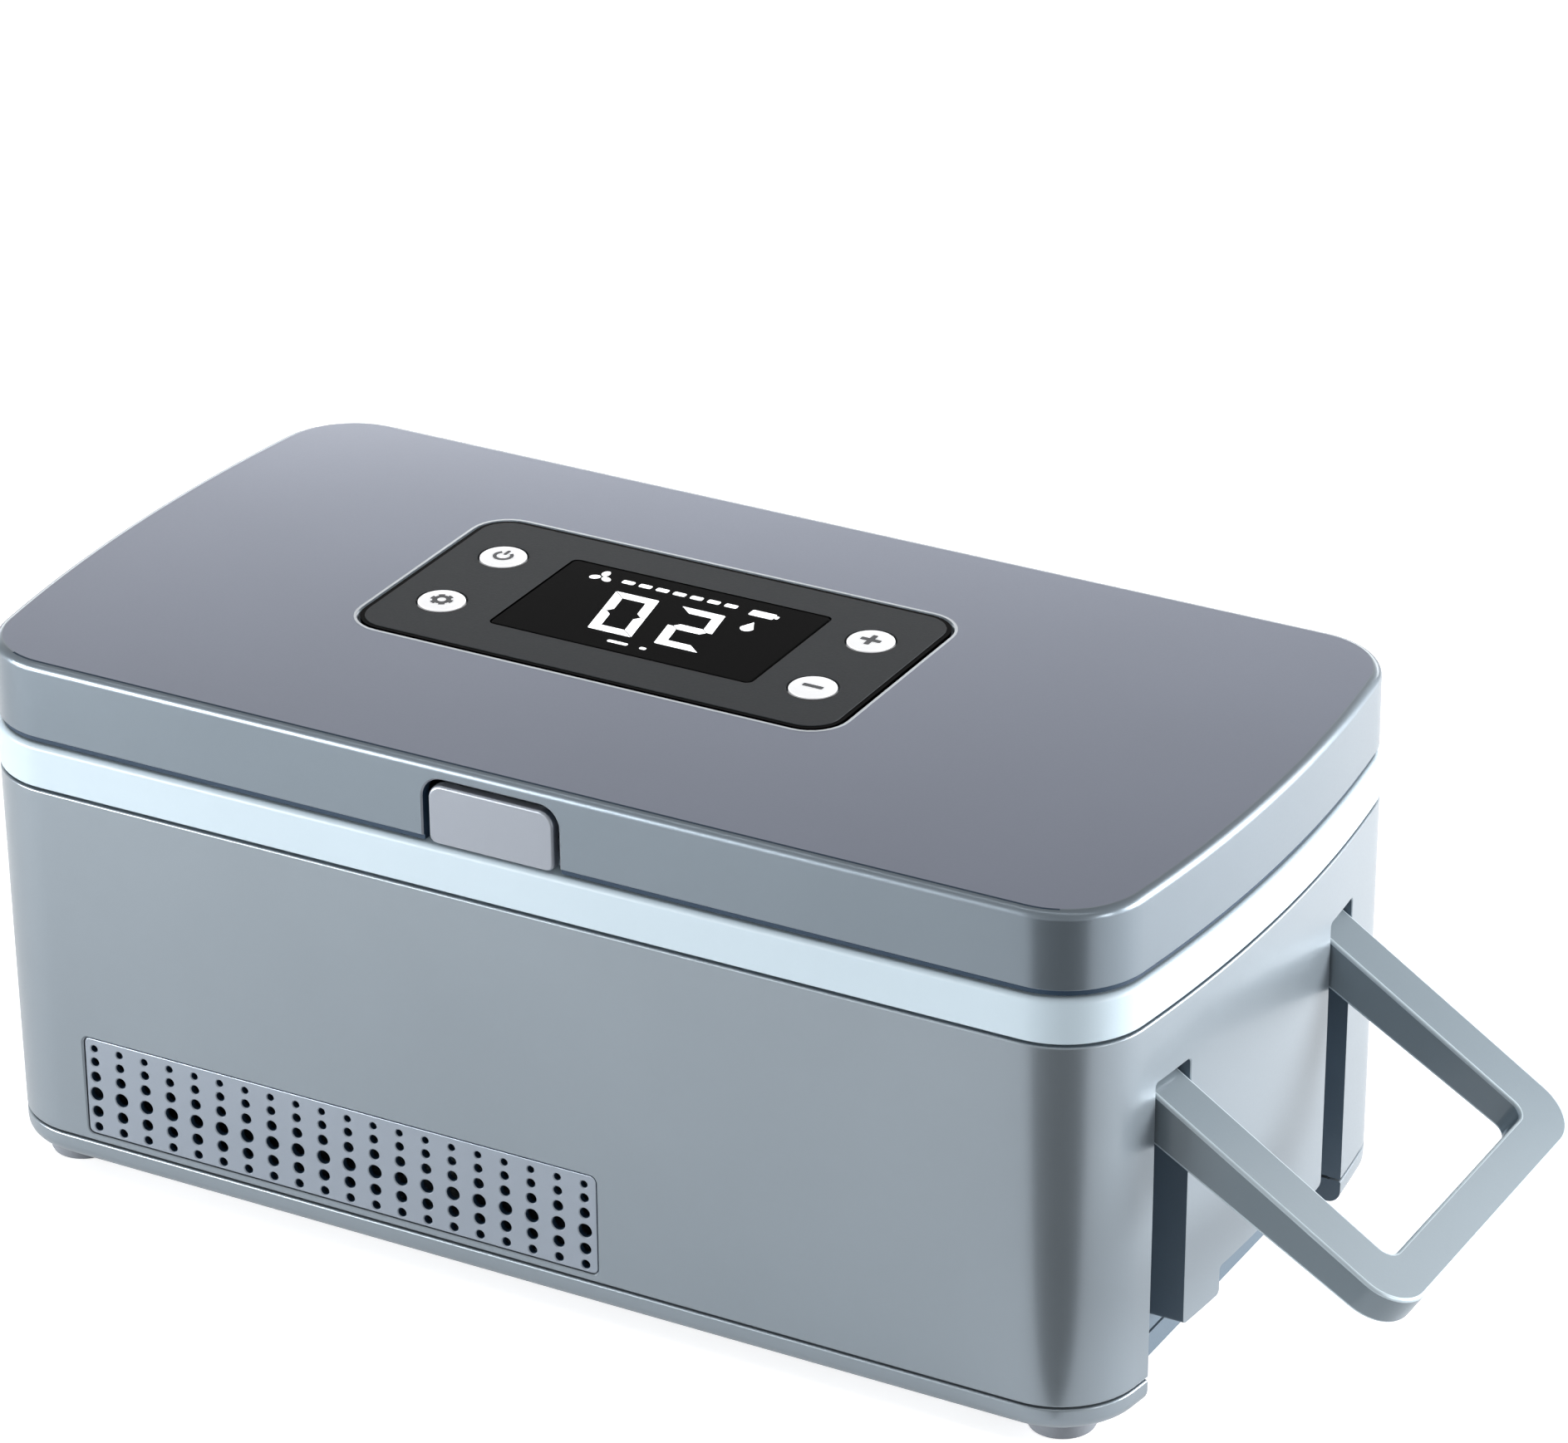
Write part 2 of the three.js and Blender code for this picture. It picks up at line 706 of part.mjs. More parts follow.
function baseCover() {
  const outer = shellSides(bodyInset, baseBottom, baseTop, baseEdge, 0);
  const floor = baseBottom + baseFloor;
  const high = baseTop + overrun;
  const cavity = stack([[plan(wall + bodyInset(floor)), floor], [plan(wall + bodyInset(high)), high]]);
  const lipInset = wall + bodyTaper + lipGap;
  const lipTop = bodyBottom + baseLipHeight;
  const lip = cut(
    prism(plan(lipInset), baseTop - baseLipHeight, lipTop),
    prism(plan(lipInset + lipThickness), baseTop - overrun, lipTop + overrun),
    block(span(ventLeft + ventWidth / 2, ventWidth + 2 * (ventFrame + seat)), [-halfDepth, -cornerY],
      [baseTop, lipTop + overrun]),
    block([recessBack - pocketWall - seat, halfLength],
      span(handleCentreY, 2 * (slotOuter + pocketWall + seat)), [baseTop, lipTop + overrun]),
    ...corners.map(([x, y]) => block(
      span(x * footX, postDiameter + 2 * seat),
      span(y * (footY + halfDepth) / 2, halfDepth - footY + postDiameter + 2 * seat),
      [baseTop, lipTop + overrun],
    )),
  );
  const lipFoot = cut(
    prism(plan(wall / 2 + bodyTaper), baseTop - baseLipHeight, baseTop),
    prism(plan(lipInset + lipThickness), baseTop - overrun, baseTop + overrun),
  );
  const bosses = corners.map(([x, y]) => rod('z', [x * footX, y * footY], bossDiameter, floor - wall / 2,
    bodyBottom - seat, footSides));
  const standoffs = corners.map(([x, y]) => rod('z', [
    boardLeft + boardLength / 2 + x * (boardLength / 2 - standoffInset),
    boardFront + boardDepth / 2 + y * (boardDepth / 2 - standoffInset),
  ], standoffDiameter, floor - wall / 2, boardZ - seat));
  const ribZ = [floor - wall / 2, floor + packRibHeight];
  const ribGap = 2 * seat;
  const ribMiddle = (packLeft + packRight) / 2;
  const ribs = [
    block([packLeft - ribGap - packRib, packLeft - ribGap], span(packCentreY, packRibLength), ribZ),
    block([packRight + ribGap, packRight + ribGap + packRib], span(packCentreY, packRibLength), ribZ),
    block(span(ribMiddle, packRibLength), [packBack + ribGap, packBack + ribGap + packRib], ribZ),
    block(span(ribMiddle, packRibLength), [packFront - ribGap / 2 - packRib, packFront - ribGap / 2],
      [floor - wall / 2, packZ]),
  ];
  const closure = block([recessBack - pocketWall, halfLength],
    span(handleCentreY, 2 * (slotOuter + pocketWall)), [baseBottom, baseTop]).intersect(outer);
  const footSeats = corners.map(([x, y]) => rod('z', [x * footX, y * footY], footDiameter + 2 * seat,
    -overrun, baseBottom + footSeatDepth, footSides));
  const headRoom = baseBottom + footSeatDepth + screwHeadHeight + 2 * seat;
  const heads = corners.map(([x, y]) => rod('z', [x * footX, y * footY], screwHead + 2 * seat,
    -overrun, headRoom));
  const shanks = corners.map(([x, y]) => rod('z', [x * footX, y * footY], screwShank + 2 * seat, -overrun,
    bodyBottom + overrun, holeSides));
  return cut(
    join(cut(outer, cavity), lip, lipFoot, closure, ...bosses, ...standoffs, ...ribs),
    handleRoom(), ...footSeats, ...heads, ...shanks,
  );
}

function foot(x, y) {
  const rounded = circle(x, y, footDiameter - 2 * footEdge, footSides);
  const full = circle(x, y, footDiameter, footSides);
  return stack([[rounded, 0], [full, footEdge], [full, baseBottom + footSeatDepth - seat]]);
}

function baseScrew(x, y) {
  const bottom = baseBottom + footSeatDepth + seat;
  return join(
    rod('z', [x, y], screwHead, bottom, bottom + screwHeadHeight),
    rod('z', [x, y], screwShank, bottom + screwHeadHeight / 2, bottom + screwLength, holeSides),
  );
}

// The storage chamber's surface, moved outwards by an offset
const chamberPlan = (grow) => roundedRectangle(0, chamberY, chamberLength + 2 * grow, chamberWidth + 2 * grow,
  chamberCorner + grow);
function chamberSides(offset, above = 0) {
  const levels = [];
  for (let step = 0; step <= edgeSteps; step += 1) {
    const turn = quarter * step / edgeSteps;
    const radius = floorFillet + offset;
    const z = chamberFloor + floorFillet - radius * Math.cos(turn);
    levels.push([chamberPlan(radius * Math.sin(turn) - floorFillet), z]);
  }
  levels.push([chamberPlan(offset), chamberTop - mouthHeight]);
  levels.push([chamberPlan(offset + mouthFlare), chamberTop]);
  if (above > 0) levels.push([chamberPlan(offset + mouthFlare), chamberTop + above]);
  return stack(levels);
}

function chamberTub() {
  const flange = prism(chamberPlan(mouthFlare + flangeWidth), chamberTop - flangeThickness, chamberTop);
  const blockWindow = block(span(0, coldBlockLength + 2 * seat),
    [chamberRear - seat, chamberRear + foamThickness], span(coldZ, coldBlockHeight + 2 * seat));
  return cut(join(chamberSides(chamberWall), flange), chamberSides(0, overrun), blockWindow);
}

function topDeck() {
  const outer = shellSides(() => 0, rimBottom, deckTop, 0, rimEdge);
  const deckWall = wall + lipGap + lipThickness;
  const lipBottom = bodyTop - lipHeight;
  const lip = prism(plan(wall + lipGap), lipBottom, deckPlateBottom);
  const under = prism(plan(deckWall), lipBottom - overrun, deckPlateBottom);
  const beam = block([-halfLength, halfLength], [channelFront - beamDepth, halfDepth],
    [deckPlateBottom - beamHeight, deckPlateBottom + seat])
    .intersect(prism(plan(wall), lipBottom, deckTop - rimEdge));
  const above = deckTop + overrun;
  const shroudSide = span(0, shroudWidth + 2 * shroudSlotGap);
  const inner = shroudRadius - shroudThickness / 2;
  const outerReach = shroudRadius + shroudThickness / 2 + shroudSlotGap;
  const innerReach = Math.sqrt(inner ** 2 - (hingeZ - deckPlateBottom) ** 2) - shroudSlotGap;
  const below = deckPlateBottom - overrun / 4;
  return cut(
    join(cut(join(outer, lip), under), beam),
    prism(chamberPlan(mouthFlare + flangeWidth + seat), chamberTop - flangeThickness - seat, above),
    prism(chamberPlan(mouthFlare + chamberWall + seat), deckPlateBottom - overrun, above),
    block([-caseLength, caseLength], [channelFront, caseDepth], [channelFloor, above]),
    ...both.map((side) => block(span(side * hingeSpread / 2, 2 * hingePocket),
      [bracketFront - hingePocketGap, bracketFront + bracketDepth + seat],
      [bracketTop - bracketPad - seat, above])),
    block(span(latchCentreX, latchTongueWidth + 2 * latchSlotSide),
      [tongueFront - latchSlotFront, hookTip + latchSlotRear], [below, above]),
    block(shroudSide, [hingeY - outerReach, hingeY - innerReach], [below, above]),
    block(shroudSide, [channelFront - seat, halfDepth - wall], [lipBottom - overrun, hingeZ - inner + seat]),
  );
}

function foamJacket() {
  const half = chamberLength / 2 + chamberWall + seat + foamThickness;
  const front = chamberY - chamberHalf - chamberWall - seat - foamThickness;
  const body = prism(
    roundedRectangle(0, (front + foamRear) / 2, 2 * half, foamRear - front, foamCorner),
    chamberFloor - chamberWall - seat - foamFloor, deckPlateBottom - seat,
  );
  return cut(body, chamberSides(chamberWall + seat), block(span(0, coldBlockLength + 2 * seat),
    [chamberRear, foamRear + overrun], span(coldZ, coldBlockHeight + 2 * seat)));
}

function coldPlate() {
  const section = roundedRectangle(coldZ, 0, coldPlateHeight, coldPlateLength, coldPlateCorner, edgeSteps);
  return prism(section, chamberRear - seat - coldPlateThickness, chamberRear - seat, 'y');
}

function coldBlock() {
  return block(span(0, coldBlockLength), [chamberRear, moduleFront - seat], span(coldZ, coldBlockHeight));
}

function peltierModule() {
  const core = moduleSize - 2 * moduleCoreInset;
  const plates = [[moduleFront, moduleFront + moduleCeramic], [moduleRear - moduleCeramic, moduleRear]];
  const middle = [moduleFront + moduleCeramic / 2, moduleRear - moduleCeramic / 2];
  return join(
    block(span(0, core), middle, span(coldZ, core)),
    ...plates.map((place) => block(span(0, moduleSize), place, span(coldZ, moduleSize))),
  );
}

function heatSink() {
  const height = [sinkBottom, sinkBottom + sinkHeight];
  const pitch = (sinkLength - sinkFin) / (sinkFins - 1);
  const fins = Array.from({ length: sinkFins }, (_, fin) => block(
    span((fin - (sinkFins - 1) / 2) * pitch, sinkFin), [sinkFront + sinkBase / 2, sinkRear], height));
  return join(block(span(0, sinkLength), [sinkFront, sinkFront + sinkBase], height), ...fins);
}

function fanFrame() {
  const section = roundedRectangle(fanZ, 0, fanSize, fanSize, fanCorner, edgeSteps);
  const square = prism(section, fanFront, fanRear, 'y');
  const bore = rod('y', [fanZ, 0], fanBore, fanFront - overrun, fanRear + overrun, fanBoreSides);
  const reach = fanBore + 2 * fanSpider;
  const spider = join(
    rod('y', [fanZ, 0], fanHub, fanRear - fanSpider, fanRear, fanHubSides),
    block(span(0, reach), [fanRear - fanSpider, fanRear], span(fanZ, fanSpiderRib)),
    block(span(0, fanSpiderRib), [fanRear - fanSpider, fanRear], span(fanZ, reach)),
  ).intersect(rod('y', [fanZ, 0], fanBore + fanSpider / 2, fanFront, fanRear, fanBoreSides));
  const place = fanSize / 2 - fanScrewInset;
  const holes = corners.map(([x, z]) => rod('y', [fanZ + z * place, x * place], fanScrewHole,
    fanFront - overrun, fanRear + overrun, holeSides));
  return cut(join(cut(square, bore), spider), ...holes);
}

function fanRotor() {
  const front = fanFront + seat;
  const back = fanRear - fanSpider - seat;
  const sweep = rod('y', [fanZ, 0], fanBore - 2 * fanTipGap, front + seat, back - seat, fanBoreSides);
  const blades = Array.from({ length: fanBlades }, (_, blade) => {
    const geometry = new THREE.BoxGeometry(fanBladeThickness, 2 * fanDepth, fanBore / 2);
    geometry.rotateZ(THREE.MathUtils.degToRad(fanBladeAngle)).translate(0, 0, fanBore / 4);
    geometry.rotateY(2 * Math.PI * blade / fanBlades).translate(0, (front + back) / 2, fanZ);
    return solid(geometry);
  });
  return join(rod('y', [fanZ, 0], fanHub, front, back, fanHubSides), join(...blades).intersect(sweep));
}

function mainBoard() {
  const section = roundedRectangle(boardLeft + boardLength / 2, boardFront + boardDepth / 2, boardLength,
    boardDepth, boardCorner, edgeSteps);
  const plate = prism(section, boardZ, boardTop);
  const parts = boardPartShares.map(([x, y, length, width, height]) => block(
    span(boardLeft + x * boardLength, length * boardLength),
    span(boardFront + y * boardDepth, width * boardDepth),
    [boardTop - boardPartSink, boardTop + height * boardPartHeight],
  ));
  return join(plate, ...parts);
}

function boardHeader() {
  const top = plugBottom + plugHeight + seat + headerWall;
  const shell = block([headerLeft, headerRight], span(headerY, 2 * headerHalf), [headerBottom, top]);
  return cut(shell, block([headerLeft + headerWall, headerRight + overrun],
    span(headerY, plugWidth + 2 * seat), [headerBottom + headerWall, top - headerWall]));
}

function batteryPlug() {
  return block([plugLeft, plugLeft + plugLength], span(headerY, plugWidth),
    [plugBottom, plugBottom + plugHeight]);
}

// A lead leaves the plug along x, crosses the floor and ends at the protection board
function batteryLead(side) {
  const start = plugLeft + plugLength + seat / 3;
  const plugZ = plugBottom + plugHeight / 2;
  const end = packLeft - seat / 3;
  const endY = safetyBoardY + safetyBoardThickness / 2;
  const endZ = packZ + side * leadSpread / 2;
  const y = headerY + side * leadPitch / 2;
  const middleX = (start + end) / 2 - side * leadPitch;
  const middleY = (headerY + endY) / 2 + side * leadPitch;
  return tube(new THREE.CatmullRomCurve3([
    new THREE.Vector3(start, y, plugZ),
    new THREE.Vector3(start + leadEntry, y, plugZ),
    new THREE.Vector3(middleX, middleY, plugZ + side * leadPitch / 2),
    new THREE.Vector3(end - leadEntry, endY, endZ),
    new THREE.Vector3(end, endY, endZ),
  ]), leadDiameter, leadSteps, leadSides);
}

// The sleeve's section: round at the front cell, square at the protection board
function sleeveSection(inset) {
  const radius = packHalfHeight - inset;
  const corner = sleeveCorner - inset;
  const back = packBack - inset - corner;
  const rise = radius - corner;
  return outline(
    arc(firstCellY, packZ, radius, quarter, 3 * quarter, 2 * cornerSteps),
    arc(back, packZ - rise, corner, 3 * quarter, 4 * quarter, cornerSteps),
    arc(back, packZ + rise, corner, 0, quarter, cornerSteps),
  );
}

function batteryWrap() {
  return cut(prism(sleeveSection(0), packLeft, packRight, 'x'),
    prism(sleeveSection(sleeveThickness), packLeft - overrun, packRight + overrun, 'x'));
}

function batteryCell(number) {
  const y = firstCellY + number * cellPitch;
  const [left, right] = span((packLeft + packRight) / 2, cellLength);
  const end = number % 2 === 0 ? right : left;
  return join(
    rod('x', [y, packZ], cellDiameter, left, right, cellSides),
    rod('x', [y, packZ], cellCap, end - cellCapHeight, end + cellCapHeight),
  );
}

function protectionBoard() {
  return block([packLeft, packLeft + safetyBoardLength], [safetyBoardY, safetyBoardY + safetyBoardThickness],
    span(packZ, safetyBoardHeight));
}

function dcSocket() {
  const back = socketFace - socketDepth;
  const tip = halfDepth - bodyTaper - seat;
  const height = [socketBottom, socketBottom + socketHeight];
  const body = block(span(socketX, socketWidth), [back, socketFace], height);
  const place = [socketZ, socketX];
  const barrel = rod('y', place, socketBarrel, socketFace - wall, tip, socketSides);
  const bore = rod('y', place, socketBore, tip - socketBoreDepth, tip + overrun, socketSides);
  const pin = rod('y', place, socketPin, tip - socketBoreDepth - seat, tip - wall, holeSides);
  return join(cut(join(body, barrel), bore), pin);
}

// The handle in its own frame: the pivot at the origin, the arms down, the face towards +x
function handleBar() {
  const top = armThickness / 2;
  const half = handleWidth / 2;
  const low = -handleReach;
  const bend = handleOuterCorner;
  const inner = handleInnerCorner;
  const insideLow = low + crossbarWidth;
  const arm = half - armWidth;
  const frontView = outline(
    [new THREE.Vector2(-arm, top), new THREE.Vector2(-half, top)],
    arc(-half + bend, low + bend, bend, 2 * quarter, 3 * quarter, handleCornerSteps),
    arc(half - bend, low + bend, bend, 3 * quarter, 4 * quarter, handleCornerSteps),
    [new THREE.Vector2(half, top), new THREE.Vector2(arm, top)],
    arc(arm - inner, insideLow + inner, inner, 0, -quarter, handleCornerSteps),
    arc(-arm + inner, insideLow + inner, inner, -quarter, -2 * quarter, handleCornerSteps),
  );
  const middle = pivotToFace - top;
  const sideView = outline(
    arc(0, middle, top, -quarter, quarter, 2 * cornerSteps),
    [new THREE.Vector2(low, pivotToFace), new THREE.Vector2(low, pivotToFace - crossbarThickness)],
    [new THREE.Vector2(insideLow, pivotToFace - crossbarThickness)],
  );
  const bar = prism(frontView, -armThickness, armThickness, 'x').intersect(prism(sideView, -half, half, 'y'));
  return cut(bar, rod('y', [0, 0], handlePinDiameter + 2 * seat, -handleWidth, handleWidth));
}

function handlePin(side) {
  const middle = handleCentreY + side * (slotOuter + slotInner) / 2;
  const length = slotOuter - slotInner + 2 * (pocketWall - seat);
  return rod('y', [pivotZ, pivotX], handlePinDiameter, ...span(middle, length));
}

// The notch for a hinge's knuckles in the lid's wall and plate
function hingeNotch(side) {
  const top = hingeZ + hingeBarrel / 2 + hingePocketGap;
  return block(span(side * hingeSpread / 2, 2 * hingePocket), [bracketFront - hingePocketGap, caseDepth],
    [lidBottom - overrun, top]);
}

const buttonPlaces = corners.map(([x, y]) => [
  panelCentreX + x * buttonSpreadX / 2, panelCentreY + y * buttonSpreadY / 2,
]);

function lidShell() {
  const outer = shellSides(() => lidInset, lidBottom, lidTop, 0, lidEdge);
  const cavity = prism(plan(lidInset + wall), lidBottom - overrun, lidRoof);
  const roof = lidRoof + wall / 2;
  const boardX = panelLength / 2 - displayBoardMargin - lidPostInsetX;
  const boardY = panelDepth / 2 - displayBoardMargin - lidPostInsetY;
  const posts = corners.map(([x, y]) => rod('z', [panelCentreX + x * boardX, panelCentreY + y * boardY],
    lidPostDiameter, boardRoof + seat, roof));
  const ears = both.map((side) => block(span(latchCentreX + side * (earInner + latchEar / 2), latchEar),
    span(latchPivotY + seat, latchEarDepth), [latchPivotZ - latchBarrel / 2, roof]));
  const springPlate = block(span(latchCentreX, springSeatWidth),
    [springRear + seat, springRear + seat + springSeat],
    [latchPivotZ + springRise - springDiameter / 2, roof]);
  const opening = prism(
    roundedRectangle((latchTop + latchGap + lidBottom - 2 * latchCorner) / 2, latchCentreX,
      latchTop + latchGap - lidBottom + 2 * latchCorner, latchWidth + 2 * latchGap, latchCorner + latchGap),
    -caseDepth, latchFront + wall + seat, 'y',
  );
  return cut(
    join(cut(outer, cavity), ...posts, ...ears, springPlate), opening,
    prism(roundedRectangle(panelCentreX, panelCentreY, panelLength + 2 * seat, panelDepth + 2 * seat,
      panelCorner + seat), panelFloor, lidTop + overrun),
    prism(roundedRectangle(windowX, windowY, windowLength - 2 * windowLip, windowDepth - 2 * windowLip,
      windowCorner), lidRoof - overrun, lidTop + overrun),
    ...buttonPlaces.map((place) => rod('z', place, buttonDiameter + 2 * seat, lidRoof - seat,
      lidTop + overrun, buttonSides)),
    rod('x', [latchPivotY, latchPivotZ], latchPinDiameter + 2 * seat,
      ...span(latchCentreX, latchWidth + overrun), holeSides),
    ...both.map(hingeNotch),
  );
}

function lidPlate() {
  const half = hingeScrewSpread / 2;
  const low = lidPlateBottom - overrun;
  const high = lidPlateTop + overrun;
  const grooveTop = lidPlateBottom + gasketSeatDepth;
  const leafTop = leafBottom + leafThickness + seat;
  const screwY = leafFront + leafDepth / 2;
  return cut(
    prism(plan(lidInset + wall + seat), lidPlateBottom, lidPlateTop),
    gasketRing(seat, low, grooveTop),
    ...both.flatMap((side) => [
      block(span(side * hingeSpread / 2, leafWidth + 2 * seat), [leafFront - seat, bracketFront],
        [low, leafTop]),
      ...both.map((end) => rod('z', [side * hingeSpread / 2 + end * half, screwY], hingeScrewShank + 2 * seat,
        low, high, holeSides)),
      hingeNotch(side),
    ]),
    block(span(latchCentreX, 2 * (earInner + latchEar + seat)), [-caseDepth, hookTip + latchGap],
      [low, high]),
    block(span(0, shroudWidth + 2 * seat), [hingeY - shroudRadius - shroudThickness / 2 - seat,
      hingeY - shroudRadius + shroudThickness / 2 + seat], [low, high]),
  );
}

function gasketRing(clearance, bottom, top) {
  const ring = (grow) => roundedRectangle(0, chamberY, gasketLength + 2 * grow, gasketWidth + 2 * grow,
    gasketCorner + grow);
  return cut(prism(ring(clearance), bottom, top),
    prism(ring(-gasketBand - clearance), bottom - overrun, top + overrun));
}

function lidGasket() {
  return gasketRing(0, deckTop + seat, lidPlateBottom + gasketSeatDepth - seat);
}

function lidFoam() {
  const section = roundedRectangle(0, chamberY, gasketLength - 2 * lidFoamMargin,
    gasketWidth - 2 * lidFoamMargin, lidFoamCorner);
  return prism(section, lidPlateTop + seat, displayBoardBottom - lidFoamGap);
}

function hingeLeaf(side) {
  const x = side * hingeSpread / 2;
  const thick = [leafBottom, leafBottom + leafThickness];
  const screwY = leafFront + leafDepth / 2;
  const screws = both.flatMap((end) => {
    const place = [x + end * hingeScrewSpread / 2, screwY];
    return [
      rod('z', place, hingeScrewShank + 2 * seat, leafBottom - overrun, lidPlateTop, holeSides),
      rod('z', place, hingeScrewHead + 2 * hingeScrewGap, leafBottom - overrun,
        leafBottom + hingeScrewHeadHeight + hingeScrewGap),
    ];
  });
  return cut(join(
    block(span(x, leafWidth), [leafFront, leafFront + leafDepth], thick),
    block(span(x, knuckleCentre), [leafFront, hingeY], thick),
    rod('x', [hingeY, hingeZ], hingeBarrel, ...span(x, knuckleCentre)),
  ), rod('x', [hingeY, hingeZ], hingePin + 2 * seat, ...span(x, leafWidth), roundSides), ...screws);
}

function hingeBracket(side) {
  const x = side * hingeSpread / 2;
  const places = both.map((end) => span(x + end * (hingeHalf - knuckleSide / 2), knuckleSide));
  const depth = [bracketFront, bracketFront + bracketDepth];
  return cut(join(
    block(span(x, 2 * hingeHalf), depth, [bracketTop - bracketPad, bracketTop]),
    ...places.flatMap((place) => [
      block(place, depth, [bracketTop - bracketPad / 2, hingeZ]),
      rod('x', [hingeY, hingeZ], hingeBarrel, ...place),
    ]),
  ), rod('x', [hingeY, hingeZ], hingePin + 2 * seat, ...span(x, leafWidth), roundSides));
}

function hingePinRod(side) {
  return rod('x', [hingeY, hingeZ], hingePin, ...span(side * hingeSpread / 2, 2 * hingeHalf));
}

function hingeScrew(side, end) {
  const place = [side * hingeSpread / 2 + end * hingeScrewSpread / 2, leafFront + leafDepth / 2];
  return join(
    rod('z', place, hingeScrewHead, leafBottom, leafBottom + hingeScrewHeadHeight),
    rod('z', place, hingeScrewShank, leafBottom + hingeScrewHeadHeight / 2, lidPlateTop - hingeScrewGap,
      holeSides),
  );
}

// The shroud's section in y and z: an arc about the hinge axis, a straight neck and a tab over the lid plate
function cableShroud() {
  const outer = shroudRadius + shroudThickness / 2;
  const inner = shroudRadius - shroudThickness / 2;
  const end = Math.PI + THREE.MathUtils.degToRad(shroudSweep);
  const tabBottom = lidPlateTop + seat;
  const tabTop = tabBottom + shroudThickness;
  const section = outline(
    [new THREE.Vector2(hingeY - inner, tabTop), new THREE.Vector2(hingeY - outer - shroudTab, tabTop)],
    [new THREE.Vector2(hingeY - outer - shroudTab, tabBottom), new THREE.Vector2(hingeY - outer, tabBottom)],
    arc(hingeY, hingeZ, outer, Math.PI, end, shroudSteps),
    arc(hingeY, hingeZ, inner, end, Math.PI, shroudSteps),
  );
  return prism(section, ...span(0, shroudWidth), 'x');
}

function controlPanel() {
  const sheet = roundedRectangle(panelCentreX, panelCentreY, panelLength, panelDepth, panelCorner);
  return cut(
    prism(sheet, panelBottom, panelTop),
    prism(windowPlan(seat), panelBottom - overrun, panelTop + overrun),
    ...buttonPlaces.map((place) => rod('z', place, buttonDiameter + 2 * seat, panelBottom - overrun,
      panelTop + overrun, buttonSides)),
  );
}

// The display window, made larger by a clearance
function windowPlan(clearance) {
  return roundedRectangle(windowX, windowY, windowLength + 2 * clearance, windowDepth + 2 * clearance,
    windowCorner + clearance, edgeSteps);
}

function displayWindow() {
  return prism(windowPlan(0), panelBottom, panelTop);
}

function displayBoard() {
  const inBoard = boardRoof - displayBoardThickness / 2;
  const edge = 2 * (windowLip + seat);
  const switches = buttonPlaces.map((place) => rod('z', place, switchDiameter, inBoard,
    boardRoof + switchHeight));
  const sheet = roundedRectangle(panelCentreX, panelCentreY, panelLength - 2 * displayBoardMargin,
    panelDepth - 2 * displayBoardMargin, windowCorner, edgeSteps);
  return join(
    prism(sheet, displayBoardBottom, boardRoof),
    block(span(windowX, windowLength - edge), span(windowY, windowDepth - edge), [inBoard, panelFloor]),
    ...switches,
  );
}

const panelButton = (place) => join(
  rod('z', place, buttonDiameter, flangeTop - buttonFlangeHeight / 2, panelTop + buttonProud, buttonSides),
  rod('z', place, buttonDiameter + 2 * buttonFlange, flangeTop - buttonFlangeHeight, flangeTop, buttonSides),
);

// The latch plate seen from the front, with large upper corners and small lower ones
function latchPlan() {
  const far = latchCentreX + latchWidth / 2;
  const near = latchCentreX - latchWidth / 2;
  const high = latchTop - latchCorner;
  const low = latchBottom + latchLowCorner;
  return outline(
    arc(high, far - latchCorner, latchCorner, 0, quarter, cornerSteps),
    arc(low, far - latchLowCorner, latchLowCorner, quarter, 2 * quarter, edgeSteps),
    arc(low, near + latchLowCorner, latchLowCorner, 2 * quarter, 3 * quarter, edgeSteps),
    arc(high, near + latchCorner, latchCorner, 3 * quarter, 4 * quarter, cornerSteps),
  );
}

function latchButton() {
  const hookTop = hookBottom + latchHookHeight;
  const hook = outline([
    new THREE.Vector2(tongueFront, hookBottom), new THREE.Vector2(tongueRear, hookBottom),
    new THREE.Vector2(hookTip, hookBottom + latchHookHeight / 2), new THREE.Vector2(hookTip, hookTop),
    new THREE.Vector2(tongueRear, hookTop), new THREE.Vector2(tongueRear, latchPivotZ),
    new THREE.Vector2(tongueFront, latchPivotZ),
  ]);
  return cut(join(
    prism(latchPlan(), latchFront, latchBack, 'y'),
    rod('x', [latchPivotY, latchPivotZ], latchBarrel, ...span(latchCentreX, latchBarrelLength)),
    block(span(latchCentreX, latchBarrelLength), [latchBack - latchThickness / 2, latchPivotY],
      span(latchPivotZ, latchWeb)),
    prism(hook, ...span(latchCentreX, latchTongueWidth), 'x'),
  ), rod('x', [latchPivotY, latchPivotZ], latchPinDiameter + 2 * seat, ...span(latchCentreX, latchWidth),
    holeSides));
}

function latchPin() {
  return rod('x', [latchPivotY, latchPivotZ], latchPinDiameter,
    ...span(latchCentreX, 2 * (earInner + latchEar)), holeSides);
}

class Coil extends THREE.Curve {
  getPoint(t) {
    const turn = 2 * Math.PI * springTurns * t;
    const radius = (springDiameter - springWire) / 2;
    return new THREE.Vector3(
      latchCentreX + radius * Math.cos(turn),
      springFront + springWire / 2 + t * (springLength - springWire),
      latchPivotZ + springRise + radius * Math.sin(turn),
    );
  }
}

function latchSpring() {
  return tube(new Coil(), springWire, springTurns * springSteps, springSides);
}

